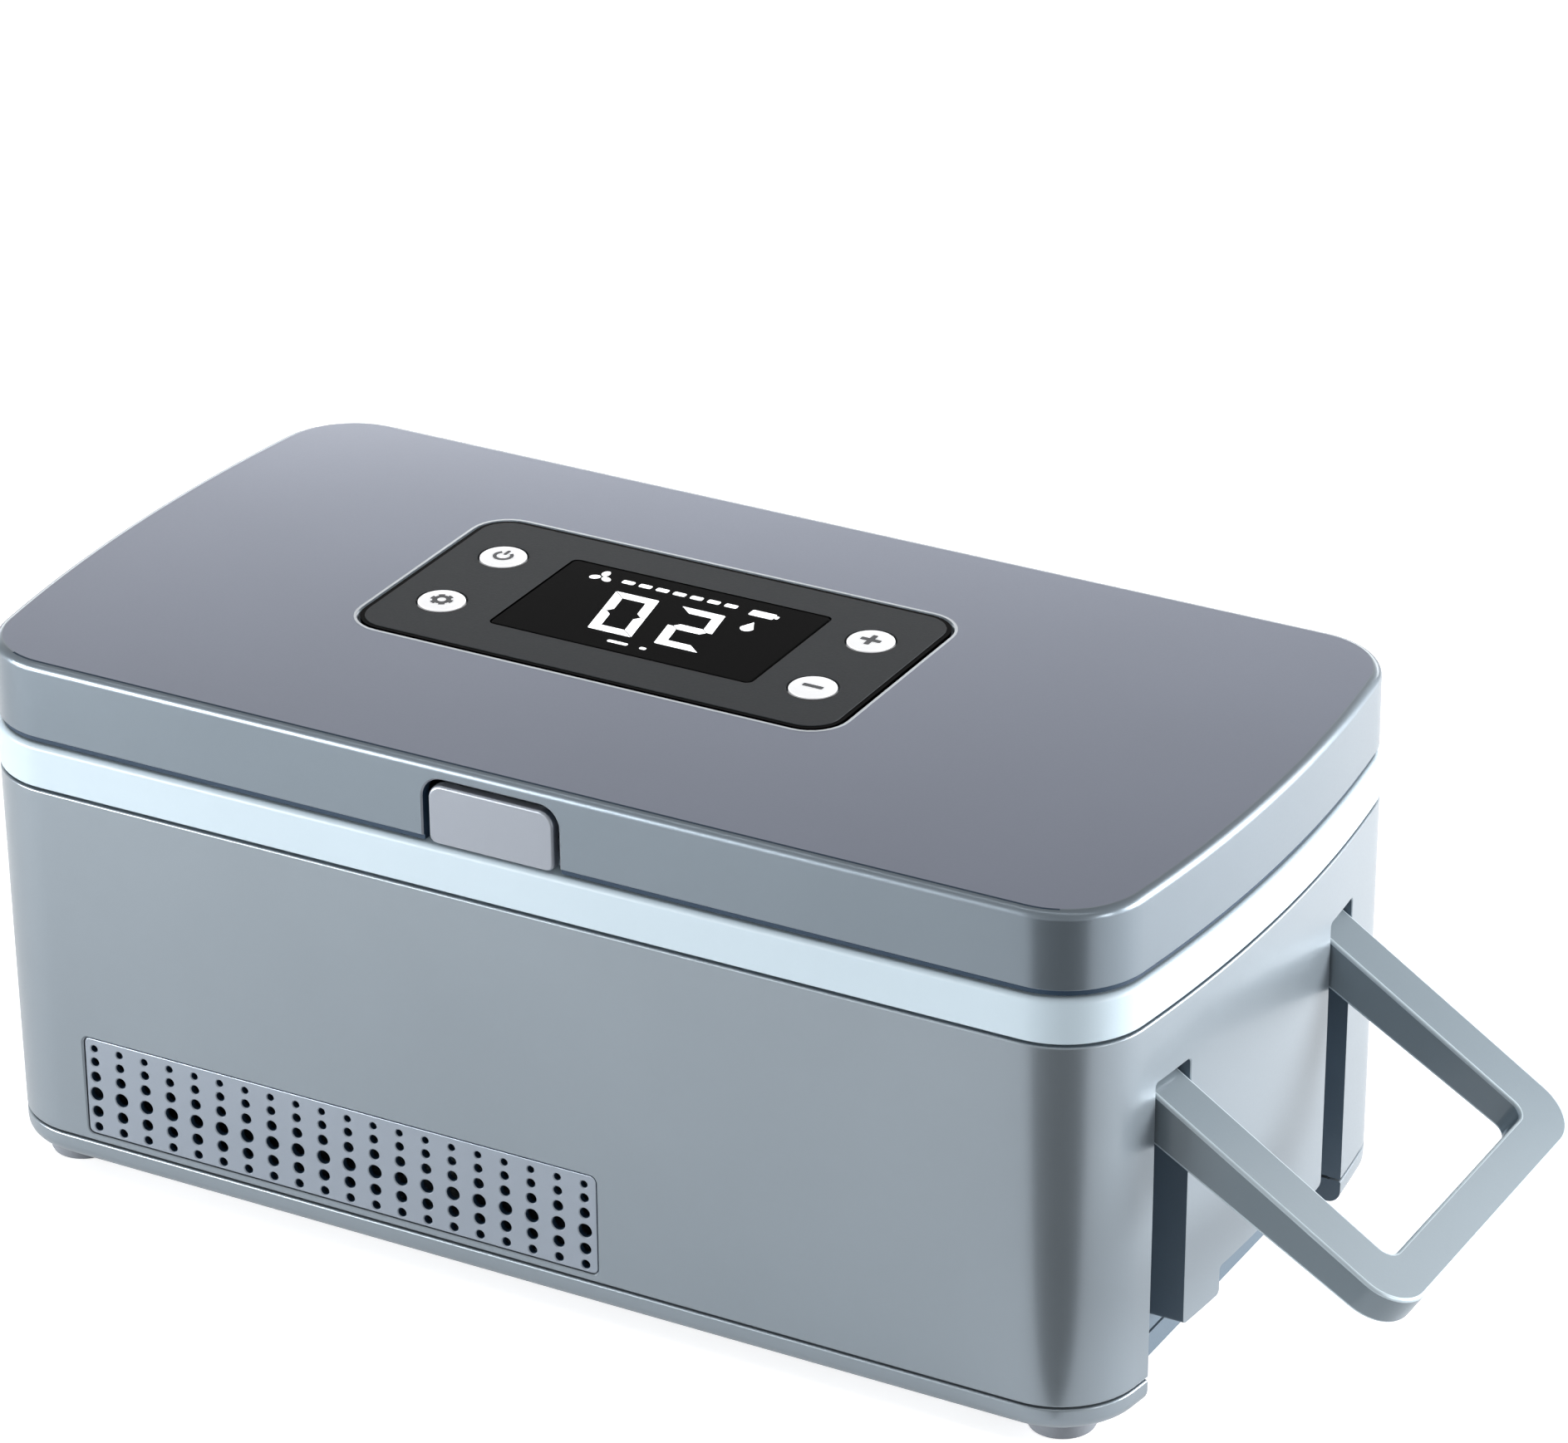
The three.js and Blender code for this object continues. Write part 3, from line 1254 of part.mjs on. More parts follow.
// The case as a group of named pieces
const caseGroup = new THREE.Group();
caseGroup.name = 'insulin_cooling_case';
function piece(name, body, color, roughness, metalness = 0) {
  const { vertProperties, triVerts } = body.getMesh();
  const geometry = new THREE.BufferGeometry();
  geometry.setAttribute('position', new THREE.Float32BufferAttribute(vertProperties, 3));
  geometry.setIndex(Array.from(triVerts));
  const mesh = new THREE.Mesh(geometry, coat(color, roughness, metalness));
  mesh.name = name;
  caseGroup.add(mesh);
  return mesh;
}

piece('body_shell', bodyShell(), 0x8b98a5, 0.35, 0.3);
piece('vent_grille', ventGrille(), 0x97a4b0, 0.4, 0.3);
piece('base_cover', baseCover(), 0x8b98a5, 0.4, 0.2);
piece('top_deck', topDeck(), 0xaabfcd, 0.45);
piece('chamber_tub', chamberTub(), 0xb8c9d4, 0.45);
piece('cold_plate', coldPlate(), 0xb9bcbf, 0.3, 0.9);
piece('foam_jacket', foamJacket(), 0xe9e9e4, 0.9);
piece('cold_block', coldBlock(), 0xb9bcbf, 0.35, 0.9);
piece('peltier_module', peltierModule(), 0xf0efe9, 0.6);
piece('heat_sink', heatSink(), 0xa9acaf, 0.4, 0.9);
piece('fan_frame', fanFrame(), 0x1c1d1f, 0.5);
piece('fan_rotor', fanRotor(), 0x222325, 0.45);
piece('main_board', mainBoard(), 0x1d5a36, 0.6);
piece('board_header', boardHeader(), 0xf0eee4, 0.5);
piece('battery_wrap', batteryWrap(), 0x0a66c8, 0.3);
for (let number = 0; number < cellCount; number += 1) {
  piece(`battery_cell_${number + 1}`, batteryCell(number), 0x9c9fa3, 0.35, 0.9);
}
piece('protection_board', protectionBoard(), 0xc9b458, 0.6);
piece('battery_lead_red', batteryLead(1), 0xb5121b, 0.5);
piece('battery_lead_black', batteryLead(-1), 0x141414, 0.5);
piece('battery_plug', batteryPlug(), 0xf3f1e8, 0.5);
piece('dc_socket', dcSocket(), 0x17181a, 0.5);
const cornerNames = ['front_left', 'rear_left', 'front_right', 'rear_right'];
corners.forEach(([x, y], index) => {
  piece(`foot_${cornerNames[index]}`, foot(x * footX, y * footY), 0x70757c, 0.6);
  piece(`base_screw_${cornerNames[index]}`, baseScrew(x * footX, y * footY), 0xa5a8ab, 0.3, 1);
});
const handle = piece('handle', handleBar(), 0x8497a3, 0.45, 0.1);
handle.position.set(pivotX, handleCentreY, pivotZ);
handle.rotation.y = -THREE.MathUtils.degToRad(handleAngle);
piece('handle_pin_front', handlePin(-1), 0xa5a8ab, 0.3, 1);
piece('handle_pin_rear', handlePin(1), 0xa5a8ab, 0.3, 1);
piece('lid_shell', lidShell(), 0x8b98a5, 0.35, 0.3);
piece('lid_plate', lidPlate(), 0xaabfcd, 0.45);
piece('lid_foam', lidFoam(), 0xe9e9e4, 0.9);
piece('lid_gasket', lidGasket(), 0x2a2c30, 0.8);
both.forEach((side) => {
  const name = side < 0 ? 'left' : 'right';
  piece(`hinge_leaf_${name}`, hingeLeaf(side), 0x8f9296, 0.35, 1);
  piece(`hinge_bracket_${name}`, hingeBracket(side), 0x8f9296, 0.35, 1);
  piece(`hinge_pin_${name}`, hingePinRod(side), 0xa5a8ab, 0.3, 1);
  piece(`hinge_screw_${name}_1`, hingeScrew(side, -1), 0x3a3c40, 0.35, 1);
  piece(`hinge_screw_${name}_2`, hingeScrew(side, 1), 0x3a3c40, 0.35, 1);
});
piece('control_panel', controlPanel(), 0x3a3e42, 0.3);
piece('display_window', displayWindow(), 0x08090b, 0.1);
piece('display_board', displayBoard(), 0x1d5a36, 0.6);
const buttonNames = ['settings', 'power', 'minus', 'plus'];
buttonPlaces.forEach((place, index) => {
  piece(`button_${buttonNames[index]}`, panelButton(place), 0xf2f3f4, 0.4);
});
piece('latch_button', latchButton(), 0x97a4b0, 0.35, 0.2);
piece('latch_pin', latchPin(), 0xa5a8ab, 0.3, 1);
piece('latch_spring', latchSpring(), 0xa5a8ab, 0.3, 1);
piece('cable_shroud', cableShroud(), 0xaabfcd, 0.45);

export default caseGroup;
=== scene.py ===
# %% [markdown]
# # An insulin cooling case
#
# This lesson dresses a small cooled box for insulin pens: a bowed, satin-grey case with a
# hinged lid, a display panel, a front latch, a perforated air inlet and a fold-out handle.
# The CAD model gives every piece its place and size. It is faceted, though, so the pieces
# that the eye rests on are made again here as smooth surfaces worked out with numpy, and
# the hidden ones keep their CAD mesh and get a finish. Lengths are written in millimetres
# and turned into metres in one place, where a mesh is made. Only the studio is in metres.

import math

import bmesh
import bpy
import numpy as np
from mathutils import Matrix, Vector


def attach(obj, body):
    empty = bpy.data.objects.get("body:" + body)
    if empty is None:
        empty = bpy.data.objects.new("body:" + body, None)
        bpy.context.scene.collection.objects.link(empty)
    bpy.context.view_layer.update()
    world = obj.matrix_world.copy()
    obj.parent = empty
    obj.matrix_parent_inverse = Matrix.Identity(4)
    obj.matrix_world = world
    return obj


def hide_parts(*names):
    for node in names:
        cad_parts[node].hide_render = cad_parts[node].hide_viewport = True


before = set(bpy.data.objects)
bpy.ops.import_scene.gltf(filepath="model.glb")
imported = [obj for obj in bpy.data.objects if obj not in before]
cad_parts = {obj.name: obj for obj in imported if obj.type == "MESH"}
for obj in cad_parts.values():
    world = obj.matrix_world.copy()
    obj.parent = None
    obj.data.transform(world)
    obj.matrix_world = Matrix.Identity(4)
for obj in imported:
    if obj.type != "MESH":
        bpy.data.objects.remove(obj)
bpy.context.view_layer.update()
plain_nodes = set(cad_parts)
MM = 0.001
QUARTER = math.pi / 2
BOTH = (-1, 1)
CORNERS = [(x, y) for x in BOTH for y in BOTH]

# %% [markdown]
# ## The camera
#
# The photograph was taken with a long lens from the front right, a good metre away. Its
# angles were found by matching corners of the case, so they are simply written down here.
# A camera can also be aimed with a Track To constraint, but three directions and a place
# say the same thing and leave nothing live in the file.

# %% Camera
TURN, RISE, ROLL = (math.radians(angle) for angle in (29.32, 26.15, -0.57))
CASE_FROM_CAMERA = Vector((-15.73, -77.54, -1123.87))
FLOOR_DROP = 3.5


def add(name, data):
    """A new object in the scene that shows the given data."""
    piece = bpy.data.objects.new(name, data)
    bpy.context.scene.collection.objects.link(piece)
    return piece


back = Vector((math.sin(TURN) * math.cos(RISE), -math.cos(TURN) * math.cos(RISE), math.sin(RISE)))
level = Vector((math.cos(TURN), math.sin(TURN), 0))
upright = back.cross(level)
right = level * math.cos(ROLL) + upright * math.sin(ROLL)
up = upright * math.cos(ROLL) - level * math.sin(ROLL)
lens = bpy.data.cameras.new("view")
lens.sensor_width, lens.lens, lens.clip_start, lens.clip_end = 36, 150.66, 0.05, 20
camera = add("view", lens)
place = -(right * CASE_FROM_CAMERA.x + up * CASE_FROM_CAMERA.y + back * CASE_FROM_CAMERA.z)
place.z -= FLOOR_DROP
camera.matrix_world = Matrix.Translation(place * MM) @ Matrix((right, up, back)).transposed().to_4x4()
bpy.context.scene.camera = camera
print("camera at", [round(v * MM, 3) for v in place])

# %% [markdown]
# ## Light
#
# Product photographs of satin plastic use large soft boxes: one over the left shoulder for
# the front, one at the right for the end wall and a weak one for the corner between them.
# Two low ones behind are mirrored only by the rear of the lid, so its top runs from dark at
# the front to light at the back, and a narrow strip overhead draws a bright line along the
# edges. Small lamps would leave hard spots.

# %% Lights
def soft_box(name, at, towards, width, height, power):
    """An area lamp whose -Z axis points from its place to the given point."""
    lamp = bpy.data.lights.new(name, "AREA")
    lamp.shape, lamp.size, lamp.size_y, lamp.energy = "RECTANGLE", width, height, power
    holder = add(name, lamp)
    aim = (Vector(towards) - Vector(at)).to_track_quat("-Z", "Y")
    holder.matrix_world = Matrix.Translation(at) @ aim.to_matrix().to_4x4()
    holder.visible_camera = False


soft_box("front_box", (-0.76, -0.74, 0.17), (-0.03, 0, 0.05), 0.6, 0.3, 15)
soft_box("end_box", (0.9, 0.5, 0.17), (0.08, 0, 0.05), 0.6, 0.3, 20)
soft_box("turn_box", (0.9, -0.25, 0.17), (0.1, -0.05, 0.05), 0.2, 0.3, 1.5)
soft_box("rear_box", (-0.2, 0.4, 0.2), (-0.03, 0, 0.095), 0.9, 0.1, 1.1)
soft_box("corner_box", (0.34, 0.26, 0.2), (0.1, 0, 0.095), 0.2, 0.2, 0.4)
soft_box("edge_strip", (0.0, -0.3, 0.95), (0, 0, 0.09), 1.5, 0.02, 1.1)
print("lamps:", len(bpy.data.lights))

# %% [markdown]
# ## Backdrop
#
# World and floor are white to the camera and a gentle grey to other light, so the white
# doesn't wash the case out. Rays mirrored by the paint see them about a third as strong. A
# dark card lies on the floor before the near corner, as a photographer would lay one. Only
# mirrored rays see it, and it draws the dark band down the corner.

# %% World, floor and card
MIRRORED, WORLD_GLOW, PAPER_GLOW = 0.35, 0.22, 0.62
FLOOR_REACH, CARD_HEIGHT = 6, 0.0005
CARD = [(0.1, -0.062), (0.0, -0.4), (0.27, -0.48), (0.42, -0.25)]


def set_inputs(node, **values):
    """Constants on a node's inputs; an underscore in a name stands for a space."""
    for name, value in values.items():
        node.inputs[name.replace("_", " ")].default_value = value
    return node


def backdrop_strength(tree, low, high):
    """High where the camera looks, straight or through glass, part of the way there for
    mirrored rays, and low for all other light."""
    path = tree.nodes.new("ShaderNodeLightPath")
    mirrored, seen, either = (tree.nodes.new("ShaderNodeMath") for _ in range(3))
    mirrored.operation, seen.operation, either.operation = "MULTIPLY", "MAXIMUM", "MAXIMUM"
    mirrored.inputs[1].default_value = MIRRORED
    tree.links.new(path.outputs["Is Glossy Ray"], mirrored.inputs[0])
    tree.links.new(path.outputs["Is Camera Ray"], seen.inputs[0])
    tree.links.new(path.outputs["Is Transmission Ray"], seen.inputs[1])
    tree.links.new(mirrored.outputs[0], either.inputs[0])
    tree.links.new(seen.outputs[0], either.inputs[1])
    scale = set_inputs(tree.nodes.new("ShaderNodeMapRange"), To_Min=low, To_Max=high)
    tree.links.new(either.outputs[0], scale.inputs["Value"])
    return scale.outputs[0]


def sheet(name, corners, height, shade):
    """A flat piece of the studio with a plain material; gives the piece and its material's tree."""
    material = bpy.data.materials.new(f"{name}_paper")
    material.use_nodes = True
    set_inputs(material.node_tree.nodes["Principled BSDF"], Base_Color=(*shade, 1))
    mesh = bpy.data.meshes.new(name)
    mesh.from_pydata([(x, y, height) for x, y in corners], [], [(0, 1, 2, 3)])
    mesh.materials.append(material)
    piece = add(name, mesh)
    return piece, material.node_tree


world = bpy.data.worlds.new("studio")
world.use_nodes = True
bpy.context.scene.world = world
sky = set_inputs(world.node_tree.nodes["Background"], Color=(1, 1, 1, 1))
world.node_tree.links.new(backdrop_strength(world.node_tree, WORLD_GLOW, 1.0), sky.inputs["Strength"])

square = [(x * FLOOR_REACH, y * FLOOR_REACH) for x, y in ((-1, -1), (1, -1), (1, 1), (-1, 1))]
floor, paper = sheet("floor", square, 0, (0.86, 0.86, 0.87))
matte = set_inputs(paper.nodes["Principled BSDF"], Roughness=0.9, Emission_Color=(1, 1, 1, 1))
paper.links.new(backdrop_strength(paper, 0.0, PAPER_GLOW), matte.inputs["Emission Strength"])
card, _ = sheet("dark_card", CARD, CARD_HEIGHT, (0.01, 0.01, 0.01))
card.visible_camera = card.visible_diffuse = card.visible_shadow = card.visible_transmission = False
bpy.context.scene.view_settings.view_transform = "Standard"
print("studio sheets:", floor.name, card.name)

# %% [markdown]
# ## Outlines
#
# Almost everything on this case is a flat outline carried along an axis while it draws in
# or grows a little. The case's own outline is two shallow bows, round corners and straight
# sides, and an inset moves all of it inwards evenly. Writing outlines as formulas rather
# than drawing them keeps neighbours such as lid, rim and body exactly parallel.

# %% Outline helpers
HALF_LENGTH, HALF_DEPTH, CORNER, BOW = 109.0, 56.0, 15.0, 5.0
BOW_RADIUS = (HALF_DEPTH**2 + BOW**2) / (2 * BOW)
BOW_CENTRE = HALF_LENGTH - BOW_RADIUS
CORNER_Y = HALF_DEPTH - CORNER
CORNER_X = BOW_CENTRE + math.sqrt((BOW_RADIUS - CORNER) ** 2 - CORNER_Y**2)
TILT = math.atan2(CORNER_Y, CORNER_X - BOW_CENTRE)
GUARD = 3.0


def arc(x, y, radius, start, stop, steps):
    """Points (x + r·cos a, y + r·sin a) while the angle a runs evenly from start to stop."""
    angle = np.linspace(start, stop, steps + 1)
    return np.column_stack([x + radius * np.cos(angle), y + radius * np.sin(angle)])


def case_plan(inset):
    """Half of it is a bow, two corner arcs and two guard points that keep the long side's
    shading flat; the other half is the same turned by 180 degrees."""
    corner = CORNER - inset
    half = np.concatenate([
        arc(BOW_CENTRE, 0, BOW_RADIUS - inset, -TILT, TILT, 42)[1:-1],
        arc(CORNER_X, CORNER_Y, corner, TILT, QUARTER, 14),
        [(CORNER_X - GUARD, HALF_DEPTH - inset), (GUARD - CORNER_X, HALF_DEPTH - inset)],
        arc(-CORNER_X, CORNER_Y, corner, QUARTER, 2 * QUARTER - TILT, 14),
    ])
    return np.concatenate([half, -half])


def rounded_rectangle(x, y, width, height, radius, grow=0.0, steps=8):
    """Four corner arcs; growing adds to both the size and the radius."""
    radius, width, height = radius + grow, width / 2 + grow, height / 2 + grow
    quarters = [arc(x + right_side * (width - radius), y + top_side * (height - radius), radius,
                    turn * QUARTER, (turn + 1) * QUARTER, steps)
                for turn, (right_side, top_side) in enumerate([(1, 1), (-1, 1), (-1, -1), (1, -1)])]
    return np.concatenate(quarters)


def plan(*shape, steps=8):
    """The outline function of a rounded rectangle, left open in how much it grows."""
    return lambda grow: rounded_rectangle(*shape, grow, steps)


def soften(corners, radius, grow=0.0, steps=3, parts=6):
    """A right-angled polygon, counterclockwise, moved outwards by a distance. With u and v the
    directions to the corners before and after, a corner arc runs through
    c - r·(v·cos t + u·sin t), where c is the corner plus r·(u + v). Each straight side is split
    into equal parts, so that it can follow a bow."""
    corner = np.asarray(corners, float)
    before, after = np.roll(corner, 1, axis=0) - corner, np.roll(corner, -1, axis=0) - corner
    u = before / np.linalg.norm(before, axis=1)[:, None]
    v = after / np.linalg.norm(after, axis=1)[:, None]
    outward = np.sign(u[:, 1] * v[:, 0] - u[:, 0] * v[:, 1])[:, None]
    corner = corner - outward * grow * (u + v)
    t = np.linspace(0, QUARTER, steps + 1)[None, :, None]
    centre = (corner + radius * (u + v))[:, None]
    bends = centre - radius * (v[:, None] * np.cos(t) + u[:, None] * np.sin(t))
    start, stop = bends[:, -1:], np.roll(bends[:, :1], -1, axis=0)
    share = (np.arange(1, parts) / parts)[None, :, None]
    return np.concatenate([bends, start + (stop - start) * share], axis=1).reshape(-1, 2)


def wall_levels(outline, bottom, top, low=0.0, high=0.0, lean=lambda z: 0.0, steps=4):
    """Levels of a block with round edges: near an edge of radius r the outline draws in by
    r·(1 - sin t) at r·(1 - cos t) from the end. The lean adds an inset at each height."""
    turns = np.linspace(0, QUARTER, steps + 1)
    lows = [(low * (1 - math.sin(t)), bottom + low * (1 - math.cos(t))) for t in turns]
    highs = [(high * (1 - math.cos(t)), top - high * (1 - math.sin(t))) for t in turns]
    levels = (lows if low else [(0, bottom)]) + (highs if high else [(0, top)])
    return [(outline(inset + lean(z)), z) for inset, z in levels]


print("corner centre", round(CORNER_X, 2), round(CORNER_Y, 2), "plan points", len(case_plan(0)))

# %% [markdown]
# ## From outlines to solids
#
# A solid is a stack of outlines with the same number of points, joined by quads and closed
# by a face at each end, or joined back to the first one to make a ring. Blender's own
# extrude and screw tools do the same by hand. Holes are cut afterwards with exact
# Booleans, whose result replaces the mesh, so that no live modifier depends on a cutter.

# %% Solid helpers
AXES = {"z": [0, 1, 2], "x": [2, 0, 1], "y": [0, 2, 1]}
SAME_PLACE, OVER = 1e-7, 4.0


def make(name, points, faces):
    """A mesh object from millimetres, with doubled points merged and all faces turned outwards."""
    mesh = bpy.data.meshes.new(name)
    mesh.from_pydata((np.asarray(points, float) * MM).tolist(), [], faces)
    clean = bmesh.new()
    clean.from_mesh(mesh)
    bmesh.ops.remove_doubles(clean, verts=clean.verts, dist=SAME_PLACE)
    bmesh.ops.recalc_face_normals(clean, faces=clean.faces)
    clean.to_mesh(mesh)
    clean.free()
    return add(name, mesh)


def solid(name, levels, axis="z", ring=False):
    """Quads between neighbouring outlines. Along x an outline holds y and z, along y x and z."""
    rows = np.stack([np.column_stack([outline, np.broadcast_to(place, len(outline))])
                     for outline, place in levels])
    count, size = rows.shape[:2]
    row, column = np.meshgrid(np.arange(count if ring else count - 1), np.arange(size), indexing="ij")
    next_row, next_column = (row + 1) % count, (column + 1) % size
    quads = np.stack([row * size + column, row * size + next_column,
                      next_row * size + next_column, next_row * size + column], axis=-1)
    faces = quads.reshape(-1, 4).tolist()
    if not ring:
        faces += [list(range(size))[::-1], list(range((count - 1) * size, count * size))]
    return make(name, rows.reshape(-1, 3)[:, AXES[axis]], faces)


def stack(name, outline, levels, axis="z", ring=False):
    """A solid from an outline function and pairs of growth (or inset) and place."""
    return solid(name, [(outline(amount), place) for amount, place in levels], axis, ring)


def prism(name, outline, start, stop, axis="z"):
    """One outline carried along an axis."""
    return solid(name, [(outline, start), (outline, stop)], axis)


def lead_in(size, start, face, lip, outwards=1):
    """Levels of a hole that opens out at 45 degrees as it crosses a face: the size grows by
    twice the lip while the place goes from a lip before the face to a lip beyond it."""
    wide = size + 2 * lip
    return [(size, start), (size, face - outwards * lip), (wide, face + outwards * lip),
            (wide, face + outwards * OVER)]


def span(centre, half):
    """The two ends of a length about its middle."""
    return centre - half, centre + half


def block(x, y, z, name="block"):
    """A box between two x, two y and two z."""
    return prism(name, np.array([(x[0], y[0]), (x[1], y[0]), (x[1], y[1]), (x[0], y[1])]), *z)


def turned(name, centre, profile, axis="z", sides=48):
    """A profile of radius and place turned about an axis through the centre."""
    ring = arc(0, 0, 1, 0, 4 * QUARTER, sides)[:-1]
    return solid(name, [(ring * radius + np.asarray(centre), place) for radius, place in profile], axis)


def rod(axis, centre, diameter, start, stop, sides=32):
    """A cylinder."""
    return turned("rod", centre, [(diameter / 2, start), (diameter / 2, stop)], axis, sides)


def gather(name, pieces):
    """One object that holds several separate closed shapes."""
    whole = bmesh.new()
    for piece in pieces:
        whole.from_mesh(piece.data)
        bpy.data.objects.remove(piece)
    mesh = bpy.data.meshes.new(name)
    whole.to_mesh(mesh)
    whole.free()
    return add(name, mesh)


def combine(piece, operation, *tools):
    """The piece joined with, cut by or limited to each tool in turn; a list of separate shapes
    counts as one tool. The mesh is kept as the Booleans leave it, and the tools are used up."""
    tools = [gather("tools", tool) if isinstance(tool, list) else tool for tool in tools]
    for tool in tools:
        step = piece.modifiers.new(operation.lower(), "BOOLEAN")
        step.operation, step.solver, step.object = operation, "EXACT", tool
    mesh = bpy.data.meshes.new_from_object(piece.evaluated_get(bpy.context.evaluated_depsgraph_get()))
    piece.modifiers.clear()
    piece.data = mesh
    for tool in tools:
        bpy.data.objects.remove(tool)


def cut(piece, *tools):
    combine(piece, "DIFFERENCE", *tools)


def join(piece, *tools):
    combine(piece, "UNION", *tools)


print("cutters reach", OVER, "mm past a face")

# %% [markdown]
# ## Dressing a piece
#
# Dressing gives a mesh its finish and shading, ties it to the body that it moves with and
# says which CAD nodes it stands for. Smooth shading needs true corners: either marked sharp
# or bevelled, and weighted normals keep the flats flat. A second finish, here always painted
# light or shade, can go on some faces only. They are picked by where they are and where they
# point, as one would by hand.

# %% Dressing helpers
SMOOTH_BELOW, BEVEL_ABOVE, BEVEL_STEPS = math.radians(32), math.radians(40), 3


def dress(piece, material, body, *nodes, slot=None, bevel=0.0, edge_material=None):
    """Gives a piece its finish, smooth shading, its body and the CAD nodes it stands for."""
    piece.data.materials.clear()
    piece.data.materials.append(material)
    piece.data.shade_smooth()
    if bevel:
        edges = piece.modifiers.new("soft_edges", "BEVEL")
        edges.width, edges.segments, edges.use_clamp_overlap = bevel * MM, BEVEL_STEPS, False
        edges.limit_method, edges.angle_limit = "ANGLE", BEVEL_ABOVE
        if edge_material:
            piece.data.materials.append(edge_material)
            edges.material = 1
    else:
        piece.data.set_sharp_from_angle(angle=SMOOTH_BELOW)
    even = piece.modifiers.new("even_light", "WEIGHTED_NORMAL")
    even.keep_sharp = True
    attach(piece, body)
    if nodes:
        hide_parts(*nodes)
        plain_nodes.difference_update(nodes)
    print(piece.name, "on", body, "faces", len(piece.data.polygons))


def repaint(piece, material, chosen):
    """Gives another finish, here painted light or shade, to the faces that a test picks, from the
    arrays of their centres (in millimetres) and of their normals."""
    faces = piece.data.polygons
    centres, normals = np.empty(len(faces) * 3), np.empty(len(faces) * 3)
    finishes = np.empty(len(faces), int)
    faces.foreach_get("center", centres)
    faces.foreach_get("normal", normals)
    faces.foreach_get("material_index", finishes)
    picked = chosen(*centres.reshape(-1, 3).T / MM, normals.reshape(-1, 3).T)
    piece.data.materials.append(material)
    faces.foreach_set("material_index", np.where(picked, len(piece.data.materials) - 1, finishes))
    print("  ", material.name, "on", int(picked.sum()), "faces")


print("edges under", round(math.degrees(SMOOTH_BELOW)), "degrees are shaded smooth")

# %% [markdown]
# ## Shared surface effects
#
# Moulded plastic is never one flat colour: it has a soft cloudiness, and a spark-eroded
# mould leaves a grain far finer than a millimetre. A node group makes both from noise in
# the object's own coordinates, where a metre is a metre, so the grain has the same size on
# every piece. A second group gives the straight scratches of brushed metal.

# %% Effect groups
def effect(name, cloud, grain):
    """A node group with two float outputs, each from noise with the given settings."""
    group = bpy.data.node_groups.new(name, "ShaderNodeTree")
    for socket in ("Cloud", "Grain"):
        group.interface.new_socket(socket, in_out="OUTPUT", socket_type="NodeSocketFloat")
    result = group.nodes.new("NodeGroupOutput")
    group.links.new(noise(group, *cloud), result.inputs["Cloud"])
    group.links.new(noise(group, *grain), result.inputs["Grain"])
    return group


def noise(tree, scale, detail, stretch=(1, 1, 1)):
    """Noise at so many waves a metre, stretched by a Mapping node."""
    place = tree.nodes.new("ShaderNodeTexCoord")
    mapping = set_inputs(tree.nodes.new("ShaderNodeMapping"), Scale=stretch)
    cloud = set_inputs(tree.nodes.new("ShaderNodeTexNoise"), Scale=scale, Detail=detail)
    tree.links.new(place.outputs["Object"], mapping.inputs["Vector"])
    tree.links.new(mapping.outputs["Vector"], cloud.inputs["Vector"])
    return cloud.outputs["Fac"]


moulded = effect("moulded_grain", (22, 3), (2600, 2))
brushed = effect("brushed_lines", (30, 2), (1400, 3, (0.02, 1, 1)))
print("effects:", [group.name for group in bpy.data.node_groups])

# %% [markdown]
# ## Materials
#
# Each finish is a Principled shader. The cloud moves its colour and roughness a little and
# the grain goes through a Bump node. Colours are read off the photograph as screen values
# and turned into light values, because shaders work in light. The satin shell is part
# metallic with a thin clear coat, which is how a metal-flake paint behaves.

# %% Material helper
RUB, GRAIN_DEPTH, COAT_ROUGHNESS = 0.12, 0.0002, 0.14


def finish(name, color, roughness, metallic=0.0, coat=0.0, grain=0.05, cloud=0.06,
           effect_group=moulded, sheen=0.0, glow=0.0, specular=0.5):
    """A Principled material whose colour, roughness and bump follow an effect group. A screen
    value v is (v / 255) to the power 2.2 as light."""
    light = [(value / 255) ** 2.2 for value in color]
    material = bpy.data.materials.new(name)
    material.use_nodes = True
    nodes, links = material.node_tree.nodes, material.node_tree.links
    shader = nodes["Principled BSDF"]
    surface = nodes.new("ShaderNodeGroup")
    surface.node_tree = effect_group
    tone = nodes.new("ShaderNodeMix")
    tone.data_type = "RGBA"
    set_inputs(tone, A=(*[value * (1 - cloud) for value in light], 1),
               B=(*[min(1, value * (1 + cloud)) for value in light], 1))
    links.new(surface.outputs["Cloud"], tone.inputs["Factor"])
    links.new(tone.outputs["Result"], shader.inputs["Base Color"])
    rub = set_inputs(nodes.new("ShaderNodeMapRange"), To_Min=roughness * (1 - RUB),
                     To_Max=min(1, roughness * (1 + RUB)))
    links.new(surface.outputs["Grain"], rub.inputs["Value"])
    links.new(rub.outputs["Result"], shader.inputs["Roughness"])
    bump = set_inputs(nodes.new("ShaderNodeBump"), Strength=grain, Distance=GRAIN_DEPTH)
    links.new(surface.outputs["Grain"], bump.inputs["Height"])
    links.new(bump.outputs["Normal"], shader.inputs["Normal"])
    set_inputs(shader, Metallic=metallic, Specular_IOR_Level=specular, Coat_Weight=coat,
               Coat_Roughness=COAT_ROUGHNESS, Sheen_Weight=sheen)
    if glow:
        set_inputs(shader, Emission_Color=(*light, 1), Emission_Strength=glow)
    return material


